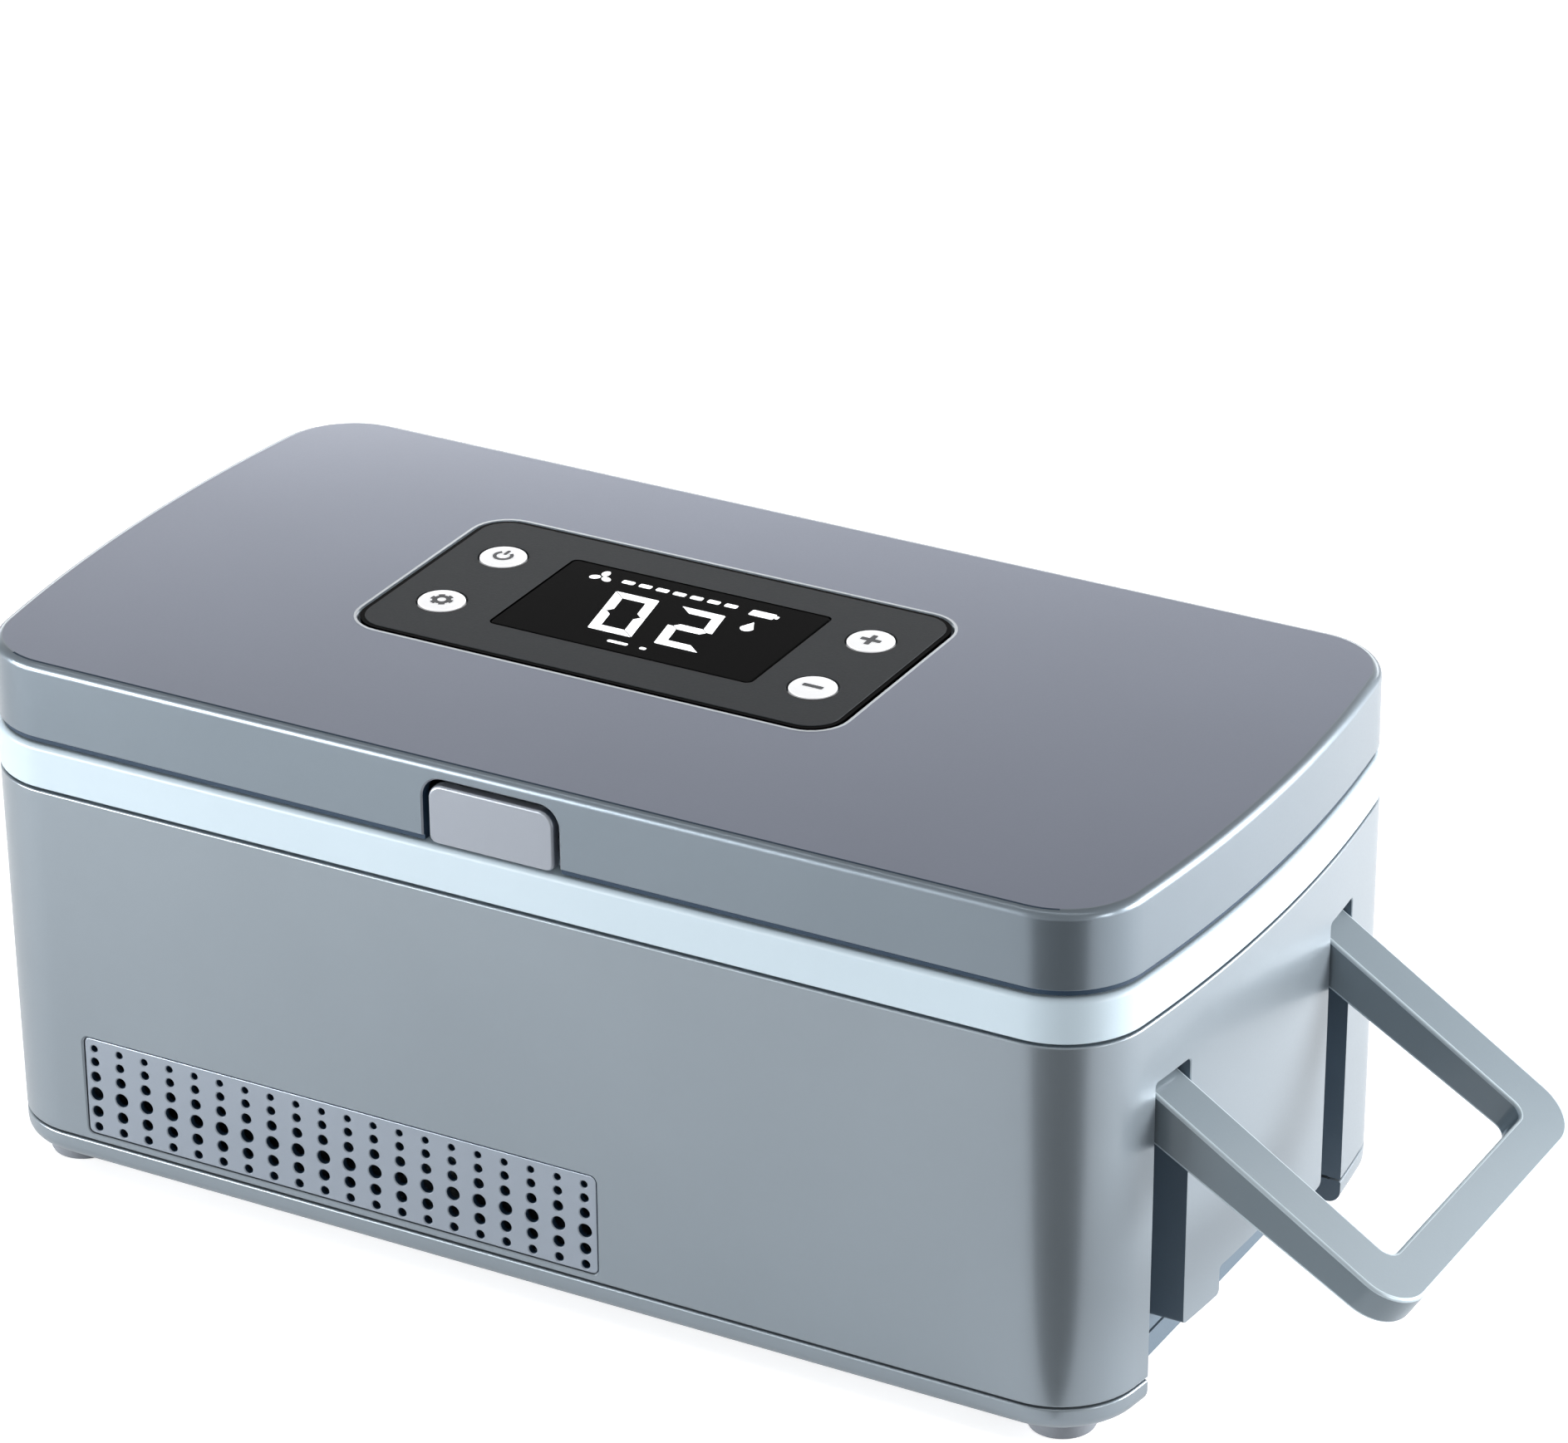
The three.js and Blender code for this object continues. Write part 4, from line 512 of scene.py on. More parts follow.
# %% Finishes
shell = finish("satin_shell", (136, 146, 154), 0.32, metallic=0.68, coat=0.4, grain=0.02)
# A darker, bluer copy of the lid's finish for its top: painted shade.
lid_top_shade = finish("satin_lid", (110, 117, 134), 0.35, metallic=0.6, coat=0.3, grain=0.02)
lid_side = finish("satin_lid_side", (118, 129, 138), 0.31, metallic=0.68, coat=0.4, grain=0.02)
trim = finish("satin_trim", (138, 147, 158), 0.38, metallic=0.5, coat=0.3)
# The latch's own finish; on the lid it also paints the chamfer round the latch opening lighter, a painted
# highlight.
latch_satin_and_chamfer_highlight = finish("satin_latch", (141, 147, 156), 0.36, metallic=0.5, coat=0.3)
light_blue = finish("light_blue_plastic", (175, 191, 201), 0.42, coat=0.15)
handle_grey = finish("handle_plastic", (108, 120, 128), 0.4, metallic=0.4, coat=0.4)
# A darker grey for the walls of the handle's slots and recess: painted shade.
slot_painted_shade = finish("slot_plastic_painted_shade", (84, 98, 110), 0.6)
# A dark finish painted where shade falls: the lid's groove, the latch opening and the inlet's holes.
seam_painted_shade = finish("painted_seam_shade", (20, 46, 66), 0.7)
# A light finish for the ring round the panel's pocket: a painted highlight.
painted_ring_highlight = finish("painted_highlight_ring", (214, 220, 226), 0.25, metallic=0.3)
# A lighter copy of the handle's finish for its bevelled edges: a painted highlight.
handle_edge_highlight = finish("handle_edge_highlight", (170, 184, 192), 0.3, metallic=0.3, coat=0.4)
graphite = finish("graphite_panel", (47, 50, 53), 0.5, grain=0.08, specular=0.08)
# Black for the display glass; on the panel it also paints the step, sides and hole walls black, as painted
# shade.
black_glass_and_ledge_shade = finish("display_glass", (5, 5, 6), 0.12, grain=0.0, cloud=0.2, specular=0.03)
screen_white = finish("lit_marks", (252, 253, 255), 0.4, glow=0.9, cloud=0.01)
# The caps glow a little so they look whiter than the lamps make them: painted light.
button_white = finish("button_plastic_painted_glow", (246, 247, 249), 0.38, coat=0.2, glow=0.3)
icon_grey = finish("printed_grey", (50, 53, 58), 0.5)
rubber = finish("gasket_rubber", (17, 18, 20), 0.66, grain=0.2, specular=0.3)
foot_rubber = finish("foot_rubber", (112, 117, 124), 0.6, grain=0.2, sheen=0.1)
brushed_metal = finish("brushed_aluminium", (196, 197, 198), 0.36, metallic=0.55,
                       effect_group=brushed, grain=0.35, cloud=0.04)
hinge_metal = finish("hinge_metal", (172, 186, 200), 0.35, metallic=0.7,
                     effect_group=brushed, grain=0.1)
screw_metal = finish("screw_metal", (72, 76, 84), 0.34, metallic=0.9)
steel = finish("bright_steel", (178, 181, 186), 0.28, metallic=1.0)
black_plastic = finish("black_plastic", (26, 27, 30), 0.42, grain=0.12)
print("finishes:", len(bpy.data.materials))

# %% [markdown]
# ## The lid cover
#
# The lid is a shallow tray turned over: one run of insets goes from the inner roof down the
# inner wall, across the lower edge and up the outside to the rounded upper edge. Low on the
# outside it steps in, and the groove that this leaves is painted dark, a painted shadow line
# over the rim. The top takes a darker, bluer copy of the finish as painted shade, and the
# chamfer round the latch takes the lighter latch finish as a painted highlight. A thin light
# ring, a painted highlight, lies round the panel's pocket, where the photograph has a bright line.

# %% Lid sizes
LID_BOTTOM, LID_TOP, LID_ROOF, LID_INSET, LID_WALL = 82.0, 96.5, 94.3, 0.3, 2.2
LID_EDGE, LOWER_EDGE, SMALL_EDGE, SEAT, LIP = 1.5, 0.25, 0.35, 0.3, 0.28
GROOVE_TOP, GROOVE_DEPTH = LID_BOTTOM + 1.0, 0.6
PANEL_X, PANEL_Y, PANEL_LENGTH, PANEL_DEPTH, PANEL_CORNER = -9.0, 6.3, 91.0, 47.5, 6.0
PANEL_TOP, PANEL_BOTTOM, PANEL_FLOOR = 96.7, 95.7, 95.4
WINDOW = (-8.3, 7.0, 49.5, 28.0)
WINDOW_LIP, WINDOW_HOLE_CORNER = 1.2, 1.9
BUTTON, BUTTON_SPREAD = 8.1, (35.4, 9.9)
BUTTON_PLACES = [(PANEL_X + x * BUTTON_SPREAD[0], PANEL_Y + y * BUTTON_SPREAD[1]) for x, y in CORNERS]
LATCH_X, LATCH_WIDTH, LATCH_BOTTOM, LATCH_TOP, LATCH_GAP = -3.5, 24.0, 82.3, 93.0, 0.7
LATCH_FRONT, LATCH_BACK, OPENING_BACK = -55.7, -53.9, -53.2
PIVOT_Y, PIVOT_Z, BARREL, LATCH_BORE = -51.2, 88.0, 4.0, 2.2
HINGE_Y, HINGE_Z, HINGE_SPREAD, HINGE_BARREL = 53.2, 81.7, 54.5, 4.6
HINGE_POCKET, BARREL_ROOM = 9.2, HINGE_BARREL / 2 + 0.5
EAR_PLACE, EAR_HALF, RING_IN, RING_OUT, RING_HALF = 8.8, 1.2, 0.6, 1.05, 0.05


def latch_outline(grow, low=LATCH_BOTTOM):
    """A rectangle with round upper corners and nearly square lower ones."""
    left, far = span(LATCH_X, LATCH_WIDTH / 2 + grow)
    large, small, top = 3.0 + grow, 1.0, LATCH_TOP + grow
    return np.concatenate([
        arc(far - large, top - large, large, 0, QUARTER, 8),
        arc(left + large, top - large, large, QUARTER, 2 * QUARTER, 8),
        arc(left + small, low + small, small, 2 * QUARTER, 3 * QUARTER, 3),
        arc(far - small, low + small, small, 3 * QUARTER, 4 * QUARTER, 3),
    ])


def hinge_notch(side):
    return block(span(side * HINGE_SPREAD, HINGE_POCKET), (HINGE_Y - BARREL_ROOM, 70),
                 (LID_BOTTOM - OVER, HINGE_Z + BARREL_ROOM))


def latch_bore():
    return rod("x", (PIVOT_Y, PIVOT_Z), LATCH_BORE, *span(LATCH_X, 14))


print("buttons at", [(round(x, 1), round(y, 1)) for x, y in BUTTON_PLACES])

# %% Lid cover
panel_plan = plan(PANEL_X, PANEL_Y, PANEL_LENGTH, PANEL_DEPTH, PANEL_CORNER)
groove_plan, inner = case_plan(LID_INSET + GROOVE_DEPTH), case_plan(LID_INSET + LID_WALL)
lid = solid("lid_cover", [
    (inner, LID_ROOF), (inner, LID_BOTTOM), (groove_plan, LID_BOTTOM), (groove_plan, GROOVE_TOP),
    *wall_levels(case_plan, GROOVE_TOP, LID_TOP, LOWER_EDGE, LID_EDGE, lambda z: LID_INSET, 6)])
through = (LID_ROOF - OVER, LID_TOP + OVER)
panel_pocket = stack("pocket", panel_plan, lead_in(SEAT, PANEL_FLOOR, LID_TOP, LIP))
window_hole = prism("window", rounded_rectangle(*WINDOW, WINDOW_HOLE_CORNER, -WINDOW_LIP), *through)
button_holes = [rod("z", at, BUTTON + 2 * SEAT, *through) for at in BUTTON_PLACES]
latch_hole = stack("latch_hole", lambda grow: latch_outline(grow, LID_BOTTOM - 6),
                   lead_in(LATCH_GAP, OPENING_BACK, LATCH_FRONT, LIP, -1), "y")
cut(lid, panel_pocket, window_hole, button_holes, latch_hole, *[hinge_notch(side) for side in BOTH])
ears = [block(span(LATCH_X + side * EAR_PLACE, EAR_HALF), (PIVOT_Y - 1.5, PIVOT_Y + 2.1),
              (PIVOT_Z - BARREL / 2, LID_ROOF + 1)) for side in BOTH]
spring_plate = block(span(LATCH_X, 3), (-48.5, -47.0), (PIVOT_Z + 2.3, LID_ROOF + 1))
join(lid, *ears, spring_plate)
cut(lid, latch_bore())
dress(lid, lid_side, "lid", "lid_shell", slot="shell")
# The top faces take the darker, bluer copy of the finish: painted shade.
repaint(lid, lid_top_shade, lambda x, y, z, normal: (z > LID_TOP - 0.02) & (normal[2] > 0.99))
# The groove's faces are painted dark: a painted shadow line between lid and rim.
repaint(lid, seam_painted_shade, lambda x, y, z, normal: z < GROOVE_TOP + 0.01)
# The chamfer round the latch opening takes the lighter latch finish: a painted highlight.
repaint(lid, latch_satin_and_chamfer_highlight, lambda x, y, z, normal: (
    (abs(y - LATCH_FRONT - LIP / 2) < 0.16) & (abs(normal[1] + 0.65) < 0.25) & (z < LID_TOP - LID_EDGE)))
# The walls at the back of the latch opening are painted dark: painted shade.
repaint(lid, seam_painted_shade, lambda x, y, z, normal: (
    (abs(y - OPENING_BACK + 1) < 1.2) & (abs(normal[1]) < 0.3) & (z > LID_BOTTOM + 0.4)))

# %% Light ring round the panel
# A thin ring painted light along the pocket's lip: a painted highlight.
panel_edge = stack("panel_edge", panel_plan, [
    (grow, LID_TOP + rise) for grow, rise in ((RING_IN, -RING_HALF), (RING_IN, RING_HALF),
                                              (RING_OUT, RING_HALF), (RING_OUT, -RING_HALF))], ring=True)
dress(panel_edge, painted_ring_highlight, "lid", slot="shell_trim")

# %% [markdown]
# ## The deck with its rim
#
# The light blue deck closes the case. Its rim shows as the band under the lid, and its top
# as the field around the storage chamber. One run of insets gives the rim, the lip that
# drops into the case and the plate, and a few cuts make the rest: a stepped mouth for the
# chamber, the channel and pockets for the hinges, and the slot that the latch hooks into,
# with a ramp that leads the hook in.

# %% Deck
RIM_BOTTOM, DECK_TOP, DECK_PLATE, DECK_LIP = 73.8, 81.6, 79.2, 0.25
RIM_EDGE, LIP_INSET, LIP_WALL, LIP_BOTTOM = 1.0, 2.5, 1.2, 70.3
CHAMBER_Y, CHAMBER_LENGTH, CHAMBER_WIDTH, CHAMBER_CORNER = -4.0, 165.0, 51.0, 7.0
CHAMBER_TOP, MOUTH_FLARE, MOUTH_HEIGHT, CHAMBER_WALL, FLANGE = 81.5, 2.0, 6.0, 2.0, 4.0
CHANNEL_FRONT, CHANNEL_FLOOR = 52.3, 78.1
BRACKET_FRONT, BRACKET_DEPTH, BRACKET_TOP, BRACKET_PAD = 50.9, 3.2, 79.1, 1.4
SHROUD_INNER, SHROUD_OUTER, SHROUD_WIDTH, SHROUD_ROOM = 9.4, 10.6, 20.0, 10.4
SLOT_LENGTH, SLOT_FRONT, SLOT_REAR = 11.0, -52.3, -47.0
RAMP_FRONT, RAMP_REAR, RAMP_DROP = -54.3, -51.0, 1.4
chamber_plan = plan(0, CHAMBER_Y, CHAMBER_LENGTH, CHAMBER_WIDTH, CHAMBER_CORNER)
above = DECK_TOP + OVER
lip_plan = case_plan(LIP_INSET + LIP_WALL)
deck = solid("rim_deck", [
    (lip_plan, DECK_PLATE), (lip_plan, LIP_BOTTOM), (case_plan(LIP_INSET), LIP_BOTTOM),
    (case_plan(LIP_INSET), RIM_BOTTOM),
    *wall_levels(case_plan, RIM_BOTTOM, DECK_TOP, SMALL_EDGE, RIM_EDGE, steps=5)])
under_channel = block(span(0, 97), (50.0, 53.0), (DECK_PLATE - 3.5, DECK_PLATE + SEAT))
join(deck, under_channel)
mouth = stack("mouth", chamber_plan, lead_in(MOUTH_FLARE + FLANGE + SEAT, CHAMBER_TOP - 1.3,
                                             DECK_TOP, DECK_LIP))
opening = prism("opening", chamber_plan(MOUTH_FLARE + CHAMBER_WALL + SEAT), DECK_PLATE - OVER, above)
channel = block(span(0, 200), (CHANNEL_FRONT, 90), (CHANNEL_FLOOR, above))
hinge_pockets = [block(span(side * HINGE_SPREAD, HINGE_POCKET),
                       (BRACKET_FRONT - 0.5, BRACKET_FRONT + BRACKET_DEPTH + SEAT),
                       (BRACKET_TOP - BRACKET_PAD - SEAT, above)) for side in BOTH]
slot_plan = plan(LATCH_X, (SLOT_FRONT + SLOT_REAR) / 2, SLOT_LENGTH, SLOT_REAR - SLOT_FRONT, 0.6)
latch_slot = stack("latch_slot", slot_plan, lead_in(0.0, DECK_PLATE - 1, DECK_TOP, DECK_LIP))
dip = DECK_TOP - RAMP_DROP
ramp_side = np.array([(RAMP_FRONT, DECK_TOP + 1), (RAMP_FRONT, DECK_TOP), (SLOT_FRONT, dip),
                      (RAMP_REAR, dip), (RAMP_REAR, DECK_TOP + 1)])
ramp = prism("ramp", ramp_side, *span(LATCH_X, 4), "x")
shroud_slot = block(span(0, SHROUD_ROOM), (HINGE_Y - SHROUD_OUTER - 0.4, HINGE_Y - SHROUD_INNER + 0.1),
                    (DECK_PLATE - 1, above))
shroud_room = block(span(0, SHROUD_ROOM), (CHANNEL_FRONT - SEAT, 53.8),
                    (LIP_BOTTOM - OVER, HINGE_Z - SHROUD_INNER + SEAT))
cut(deck, mouth, opening, channel, hinge_pockets, latch_slot, ramp, shroud_slot, shroud_room)
dress(deck, light_blue, "case", "top_deck", slot="light_blue")

# %% [markdown]
# ## The case body
#
# The body leans in by two thirds of a millimetre towards its foot, as a moulding must to
# leave its mould. The end wall holds the folded handle: two tall slots for the arms and a
# low recess for the crossbar, with a thumb scoop above it. Their mouth follows the bowed
# wall, so the lip is one even thread of light. Behind them a pocket with walls keeps the
# openings from showing the hollow inside, and their walls are painted a darker grey, painted
# shade that gives them their depth.

# %% Body sizes
BODY_BOTTOM, BODY_TOP, BODY_TAPER, WALL, POCKET = 8.2, 73.3, 0.65, 2.2, 2.0
HANDLE_Y, PIVOT_X, PIVOT_UP, PIN_BORE, PIN_PLACE = -3.5, 102.55, 57.3, 3.6, 30.5
SLOT_BACK, RECESS_BACK, ROOM_LIP = 97.8, 99.8, 0.3
SLOT_OUTER, SLOT_INNER, SLOT_TOP, RECESS_TOP, SCOOP_TOP, SCOOP = 35.6, 25.4, 61.7, 12.9, 17.9, 14.0
VENT_X, VENT_Z, VENT_WIDTH, VENT_HEIGHT, VENT_CORNER = -35.8, 18.75, 100.0, 18.3, 1.1
VENT_TOP, VENT_FACE, VENT_BACK = VENT_Z + VENT_HEIGHT / 2, -55.2, -54.1
OUTLETS, OUTLET_PITCH, OUTLET_Z, OUTLET_WIDTH, OUTLET_HEIGHT = 8, 5.4, 37.0, 2.6, 36
SOCKET = (-78.0, 16.6)
FOOT_X, FOOT_Y = 94.0, 45.5
SCREW_HOLE, SCREW_TOP = 2.8, 21.9


def body_lean(z):
    """The inset grows evenly from nothing at the top to the taper at the foot."""
    return BODY_TAPER * (BODY_TOP - z) / (BODY_TOP - BODY_BOTTOM)


def end_wall(y):
    """x of the bowed end wall at its upper edge: c + the root of R² - y²."""
    return BOW_CENTRE + np.sqrt(BOW_RADIUS**2 - y**2)


def room_corners(bottom, margin=0.0):
    """The outline in y and z of the slots, recess and scoop together, counterclockwise."""
    outer, inner_side, scoop = SLOT_OUTER + margin, SLOT_INNER - margin, SCOOP + margin
    top, recess, scoop_top = SLOT_TOP + margin, RECESS_TOP + margin, SCOOP_TOP + margin
    half = [(outer, bottom), (outer, top), (inner_side, top), (inner_side, recess), (scoop, recess),
            (scoop, scoop_top)]
    mirrored = [(-v, z) for v, z in half[::-1]]
    return [(HANDLE_Y + v, z) for v, z in half + mirrored]


def rectangle(y, bottom, top):
    """Corners between two y and two z, counterclockwise."""
    return [(y[0], bottom), (y[1], bottom), (y[1], top), (y[0], top)]


def slot_corners(side, bottom, margin=0.0):
    centre, half = side * (SLOT_OUTER + SLOT_INNER) / 2, (SLOT_OUTER - SLOT_INNER) / 2 + margin
    return rectangle(span(HANDLE_Y + centre, half), bottom, SLOT_TOP + margin)


def end_tool(name, corners, depth, lip=0.0, radius=0.8, reach=0.0):
    """A tool along x whose mouth follows the end wall, opening out by a lip at 45 degrees."""
    plain = soften(corners, radius)
    face = end_wall(plain[:, 0]) - reach
    if not lip:
        return prism(name, plain, depth, face, "x")
    wide = soften(corners, radius, 2 * lip)
    return solid(name, [(plain, depth), (plain, face - lip), (wide, face + lip),
                        (wide, HALF_LENGTH + OVER)], "x")


def in_handle_room(x, y, z, normal):
    """True for the walls of the slots and the recess, away from the outer surface."""
    return (x > SLOT_BACK - 0.1) & (abs(y - HANDLE_Y) < SLOT_OUTER + 0.1) & (x < end_wall(y) - 1.2)


def foot_rods(diameter, start, stop, sides=32):
    """A rod over each foot, from one height to another."""
    return [rod("z", (x * FOOT_X, y * FOOT_Y), diameter, start, stop, sides) for x, y in CORNERS]


print("end wall from", [round(float(end_wall(y)), 2) for y in (0, SLOT_OUTER)], "mm")

# %% Body
vent_plan = plan(VENT_X, VENT_Z, VENT_WIDTH, VENT_HEIGHT, VENT_CORNER)
body_levels = wall_levels(case_plan, BODY_BOTTOM, BODY_TOP, SMALL_EDGE, SMALL_EDGE, body_lean, 3)
body_levels += [(case_plan(WALL + body_lean(z)), z) for z in (BODY_TOP, BODY_BOTTOM)]
body = solid("case_body", body_levels, ring=True)
vent_frame = block(span(VENT_X, VENT_WIDTH / 2 + 3), (-54.6, -51.65), (BODY_BOTTOM + 0.1, VENT_TOP + 3))
pocket = end_tool("pocket", room_corners(BODY_BOTTOM + 0.1, POCKET), RECESS_BACK - POCKET, reach=1.5)
slot_pockets = [end_tool("slot_pocket", slot_corners(side, RECESS_TOP - 3.3, POCKET),
                         SLOT_BACK - POCKET, reach=1.7) for side in BOTH]
join(body, vent_frame, pocket, *slot_pockets)
vent_pocket = stack("vent_pocket", vent_plan, lead_in(0.15, VENT_BACK + SEAT, -55.4, 0.2, -1), "y")
vent_window = prism("vent_window", vent_plan(-0.5), -60, -48, "y")
room = end_tool("room", room_corners(-OVER), RECESS_BACK, ROOM_LIP)
slots = [end_tool("slot", slot_corners(side, RECESS_TOP - 1.3), SLOT_BACK, reach=3) for side in BOTH]
outlet_places = OUTLET_PITCH * (np.arange(OUTLETS) - (OUTLETS - 1) / 2)
outlets = [stack("outlet", plan(x, OUTLET_Z, OUTLET_WIDTH, OUTLET_HEIGHT, 1.25),
                 lead_in(0, 50, HALF_DEPTH - 0.3, 0.3), "y") for x in outlet_places]
socket_hole = turned("socket_hole", SOCKET, lead_in(4.3, 50, 55.4, 0.3), "y")
pin_holes = [rod("y", (PIVOT_X, PIVOT_UP), PIN_BORE, *span(HANDLE_Y + side * PIN_PLACE, 7))
             for side in BOTH]
cut(body, vent_pocket, vent_window, room, *slots, outlets, socket_hole, pin_holes)
posts = foot_rods(7, BODY_BOTTOM + 0.2, BODY_BOTTOM + 14)
ribs = [block(span(x * FOOT_X, 1.5), sorted((y * (FOOT_Y + 1), y * 54.2)), (BODY_BOTTOM + 0.2, 22.0))
        for x, y in CORNERS]
join(body, *ribs, *posts)
cut(body, foot_rods(SCREW_HOLE, 4, SCREW_TOP))
dress(body, shell, "case", "body_shell", slot="shell")
# The walls of the slots and recess are painted darker: painted shade.
repaint(body, slot_painted_shade, in_handle_room)

# %% [markdown]
# ## The base tray
#
# Under the body a tray closes the case. Its lower edge is rounded, and a step in each
# corner carries a foot. The bosses for the screws, the standoffs for the board and the ribs
# that hold the battery stand on its floor, where only an opened case shows them.

# %% Base tray
BASE_BOTTOM, BASE_TOP, BASE_FLOOR, BASE_EDGE, INSIDE = 3.5, 7.8, 5.7, 2.4, 4.6
FOOT_RING = [(6.4, 2.9), (6.7, 3.1), (6.8, 3.3), (6.8, 4.0)]
BASE_LIP = [(1.75, 6.6), (3.15, 6.9), (3.15, 9.4), (4.35, 9.4), (4.35, 6.6)]
BOARD_X, BOARD_Y, STANDOFF, STANDOFF_TOP = -59.0, 8.0, 6, 8.9
PACK_LEFT, PACK_RIGHT, PACK_FRONT, PACK_REAR, PACK_Y, PACK_Z = 23.2, 92.2, -31.5, 26.8, -3.0, 15.9
RIB_HALF, RIB_TOP = 12, 9.7
base_levels = wall_levels(case_plan, BASE_BOTTOM, BASE_TOP, BASE_EDGE, SMALL_EDGE, body_lean, 6)
base_levels += [(case_plan(WALL + body_lean(z)), z) for z in (BASE_TOP, BASE_FLOOR)]
base = solid("base_tray", base_levels)
rings = [turned("ring", (x * FOOT_X, y * FOOT_Y), FOOT_RING, sides=64) for x, y in CORNERS]
lip_ring = stack("lip_ring", case_plan, BASE_LIP, ring=True)
gap_height = (BASE_TOP, 12)
lip_gaps = [block(span(VENT_X, VENT_WIDTH / 2 + 3.3), (-56, -41), gap_height),
            block((97.5, HALF_LENGTH), span(HANDLE_Y, 37.9), gap_height)]
lip_gaps += [block(span(x * FOOT_X, 3.8), sorted((y * 41.5, y * 60)), gap_height) for x, y in CORNERS]
cut(lip_ring, *lip_gaps)
standoffs = [rod("z", (BOARD_X + x * 25, BOARD_Y + y * 28), STANDOFF, INSIDE, STANDOFF_TOP)
             for x, y in CORNERS]
along, across = span((PACK_LEFT + PACK_RIGHT) / 2, RIB_HALF), span(PACK_Y, RIB_HALF)
pack_ribs = [block((PACK_LEFT - 2.2, PACK_LEFT - 0.6), across, (INSIDE, RIB_TOP)),
             block((PACK_RIGHT + 0.6, PACK_RIGHT + 2.2), across, (INSIDE, RIB_TOP)),
             block(along, (PACK_REAR + 0.6, PACK_REAR + 2.2), (INSIDE, RIB_TOP)),
             block(along, (PACK_FRONT - 1.9, PACK_FRONT - 0.3), (INSIDE, PACK_Z))]
closure = end_tool("closure", rectangle(span(HANDLE_Y, 37.6), 4.0, 7.7), RECESS_BACK - POCKET, reach=1.9)
join(base, lip_ring, *rings, *foot_rods(8.6, INSIDE, 7.9), *standoffs, *pack_ribs, closure)
foot_seats, heads = foot_rods(12.6, -OVER, 4.3, 64), foot_rods(5.8, -OVER, 6.4)
base_room = end_tool("base_room", room_corners(-OVER), RECESS_BACK, ROOM_LIP)
cut(base, base_room, foot_seats, heads, foot_rods(SCREW_HOLE, -OVER, 12))
dress(base, shell, "case", "base_cover", slot="shell_trim")
# The tray's part of the recess is painted darker too: painted shade.
repaint(base, slot_painted_shade, in_handle_room)

# %% [markdown]
# ## The air inlet
#
# Six rows of holes grow and shrink down the plate. All the cutters are one mesh, worked out
# by repeating a small profile at every place, so a single Boolean makes all the holes. Each
# hole is countersunk by a hair, which catches the light as a thin rim round the dark, and the
# walls of the holes are painted dark as painted shade. An array modifier could repeat a row,
# but not change the size from row to row.

# %% Inlet plate
HOLE_SIZES = np.array([1.3, 1.6, 1.9, 2.5, 2.1, 1.6])
MARGIN, COLUMN_PITCH, COLUMNS, WEB, RIM, HOLE_SIDES = 1.9, 5.04, 20, 1.1, 0.16, 20
plate = stack("inlet_plate", vent_plan, [(-0.25, VENT_FACE), (-0.08, VENT_FACE + 0.08),
                                         (0, VENT_FACE + 0.25), (0, VENT_BACK)], "y")
steps_down = np.concatenate([[0], (HOLE_SIZES[:-1] + HOLE_SIZES[1:]) / 2 + WEB])
rows = VENT_TOP - MARGIN - np.cumsum(steps_down)
columns = VENT_X - VENT_WIDTH / 2 + MARGIN + COLUMN_PITCH * np.arange(COLUMNS)
cut(plate, [
    turned("hole", (x, z), [(size / 2 + 2 * RIM, VENT_FACE - RIM), (size / 2, VENT_FACE + RIM),
                            (size / 2, VENT_BACK + 1)], "y", HOLE_SIDES)
    for z, size in zip(rows, HOLE_SIZES) for x in columns])
dress(plate, trim, "case", "vent_grille", slot="shell_trim")
# The walls of the holes are painted dark: painted shade.
repaint(plate, seam_painted_shade, lambda x, y, z, normal: (y > VENT_FACE + RIM) & (abs(normal[1]) < 0.5))

# %% [markdown]
# ## The handle
#
# The handle is where two simple views meet: from the front it is a U with round corners,
# from the side a bar with a round top that thins towards the crossbar. Intersecting the two
# prisms gives the true form, just as two saw cuts would. A bevel then takes the edges off
# and paints them a lighter colour, a painted highlight like the one light draws on the real
# edges. The whole is turned about its pin to stand out from the case as in the photograph.

# %% Handle
HANDLE_ANGLE, HANDLE_BEVEL = -57.2, 0.55
HANDLE_HALF, ARM, REACH, CROSSBAR, FACE = 35.0, 9.0, 53.3, 7.6, 3.75
THICK, THIN, HANDLE_BEND, INNER_BEND = 8.0, 6.0, 8.0, 2.5
low, inside_low, arm = -REACH, CROSSBAR - REACH, HANDLE_HALF - ARM
front_view = np.concatenate([
    [(-arm, THICK), (-HANDLE_HALF, THICK)],
    arc(HANDLE_BEND - HANDLE_HALF, low + HANDLE_BEND, HANDLE_BEND, 2 * QUARTER, 3 * QUARTER, 14),
    arc(HANDLE_HALF - HANDLE_BEND, low + HANDLE_BEND, HANDLE_BEND, 3 * QUARTER, 4 * QUARTER, 14),
    [(HANDLE_HALF, THICK), (arm, THICK)],
    arc(arm - INNER_BEND, inside_low + INNER_BEND, INNER_BEND, 0, -QUARTER, 6),
    arc(INNER_BEND - arm, inside_low + INNER_BEND, INNER_BEND, -QUARTER, -2 * QUARTER, 6),
])
side_view = np.concatenate([
    arc(FACE - THICK / 2, 0, THICK / 2, 0, 2 * QUARTER, 20),
    [(FACE - THIN, inside_low), (FACE - THIN, low - 1), (FACE, low - 1)],
])
handle = prism("handle_bar", front_view, *span(0, 10), "x")
combine(handle, "INTERSECT", prism("profile", side_view, *span(0, 40), "y"))
cut(handle, rod("y", (0, 0), PIN_BORE, *span(0, 40)))
pivot = Matrix.Translation(Vector((PIVOT_X, HANDLE_Y, PIVOT_UP)) * MM)
handle.data.transform(pivot @ Matrix.Rotation(math.radians(HANDLE_ANGLE), 4, "Y"))
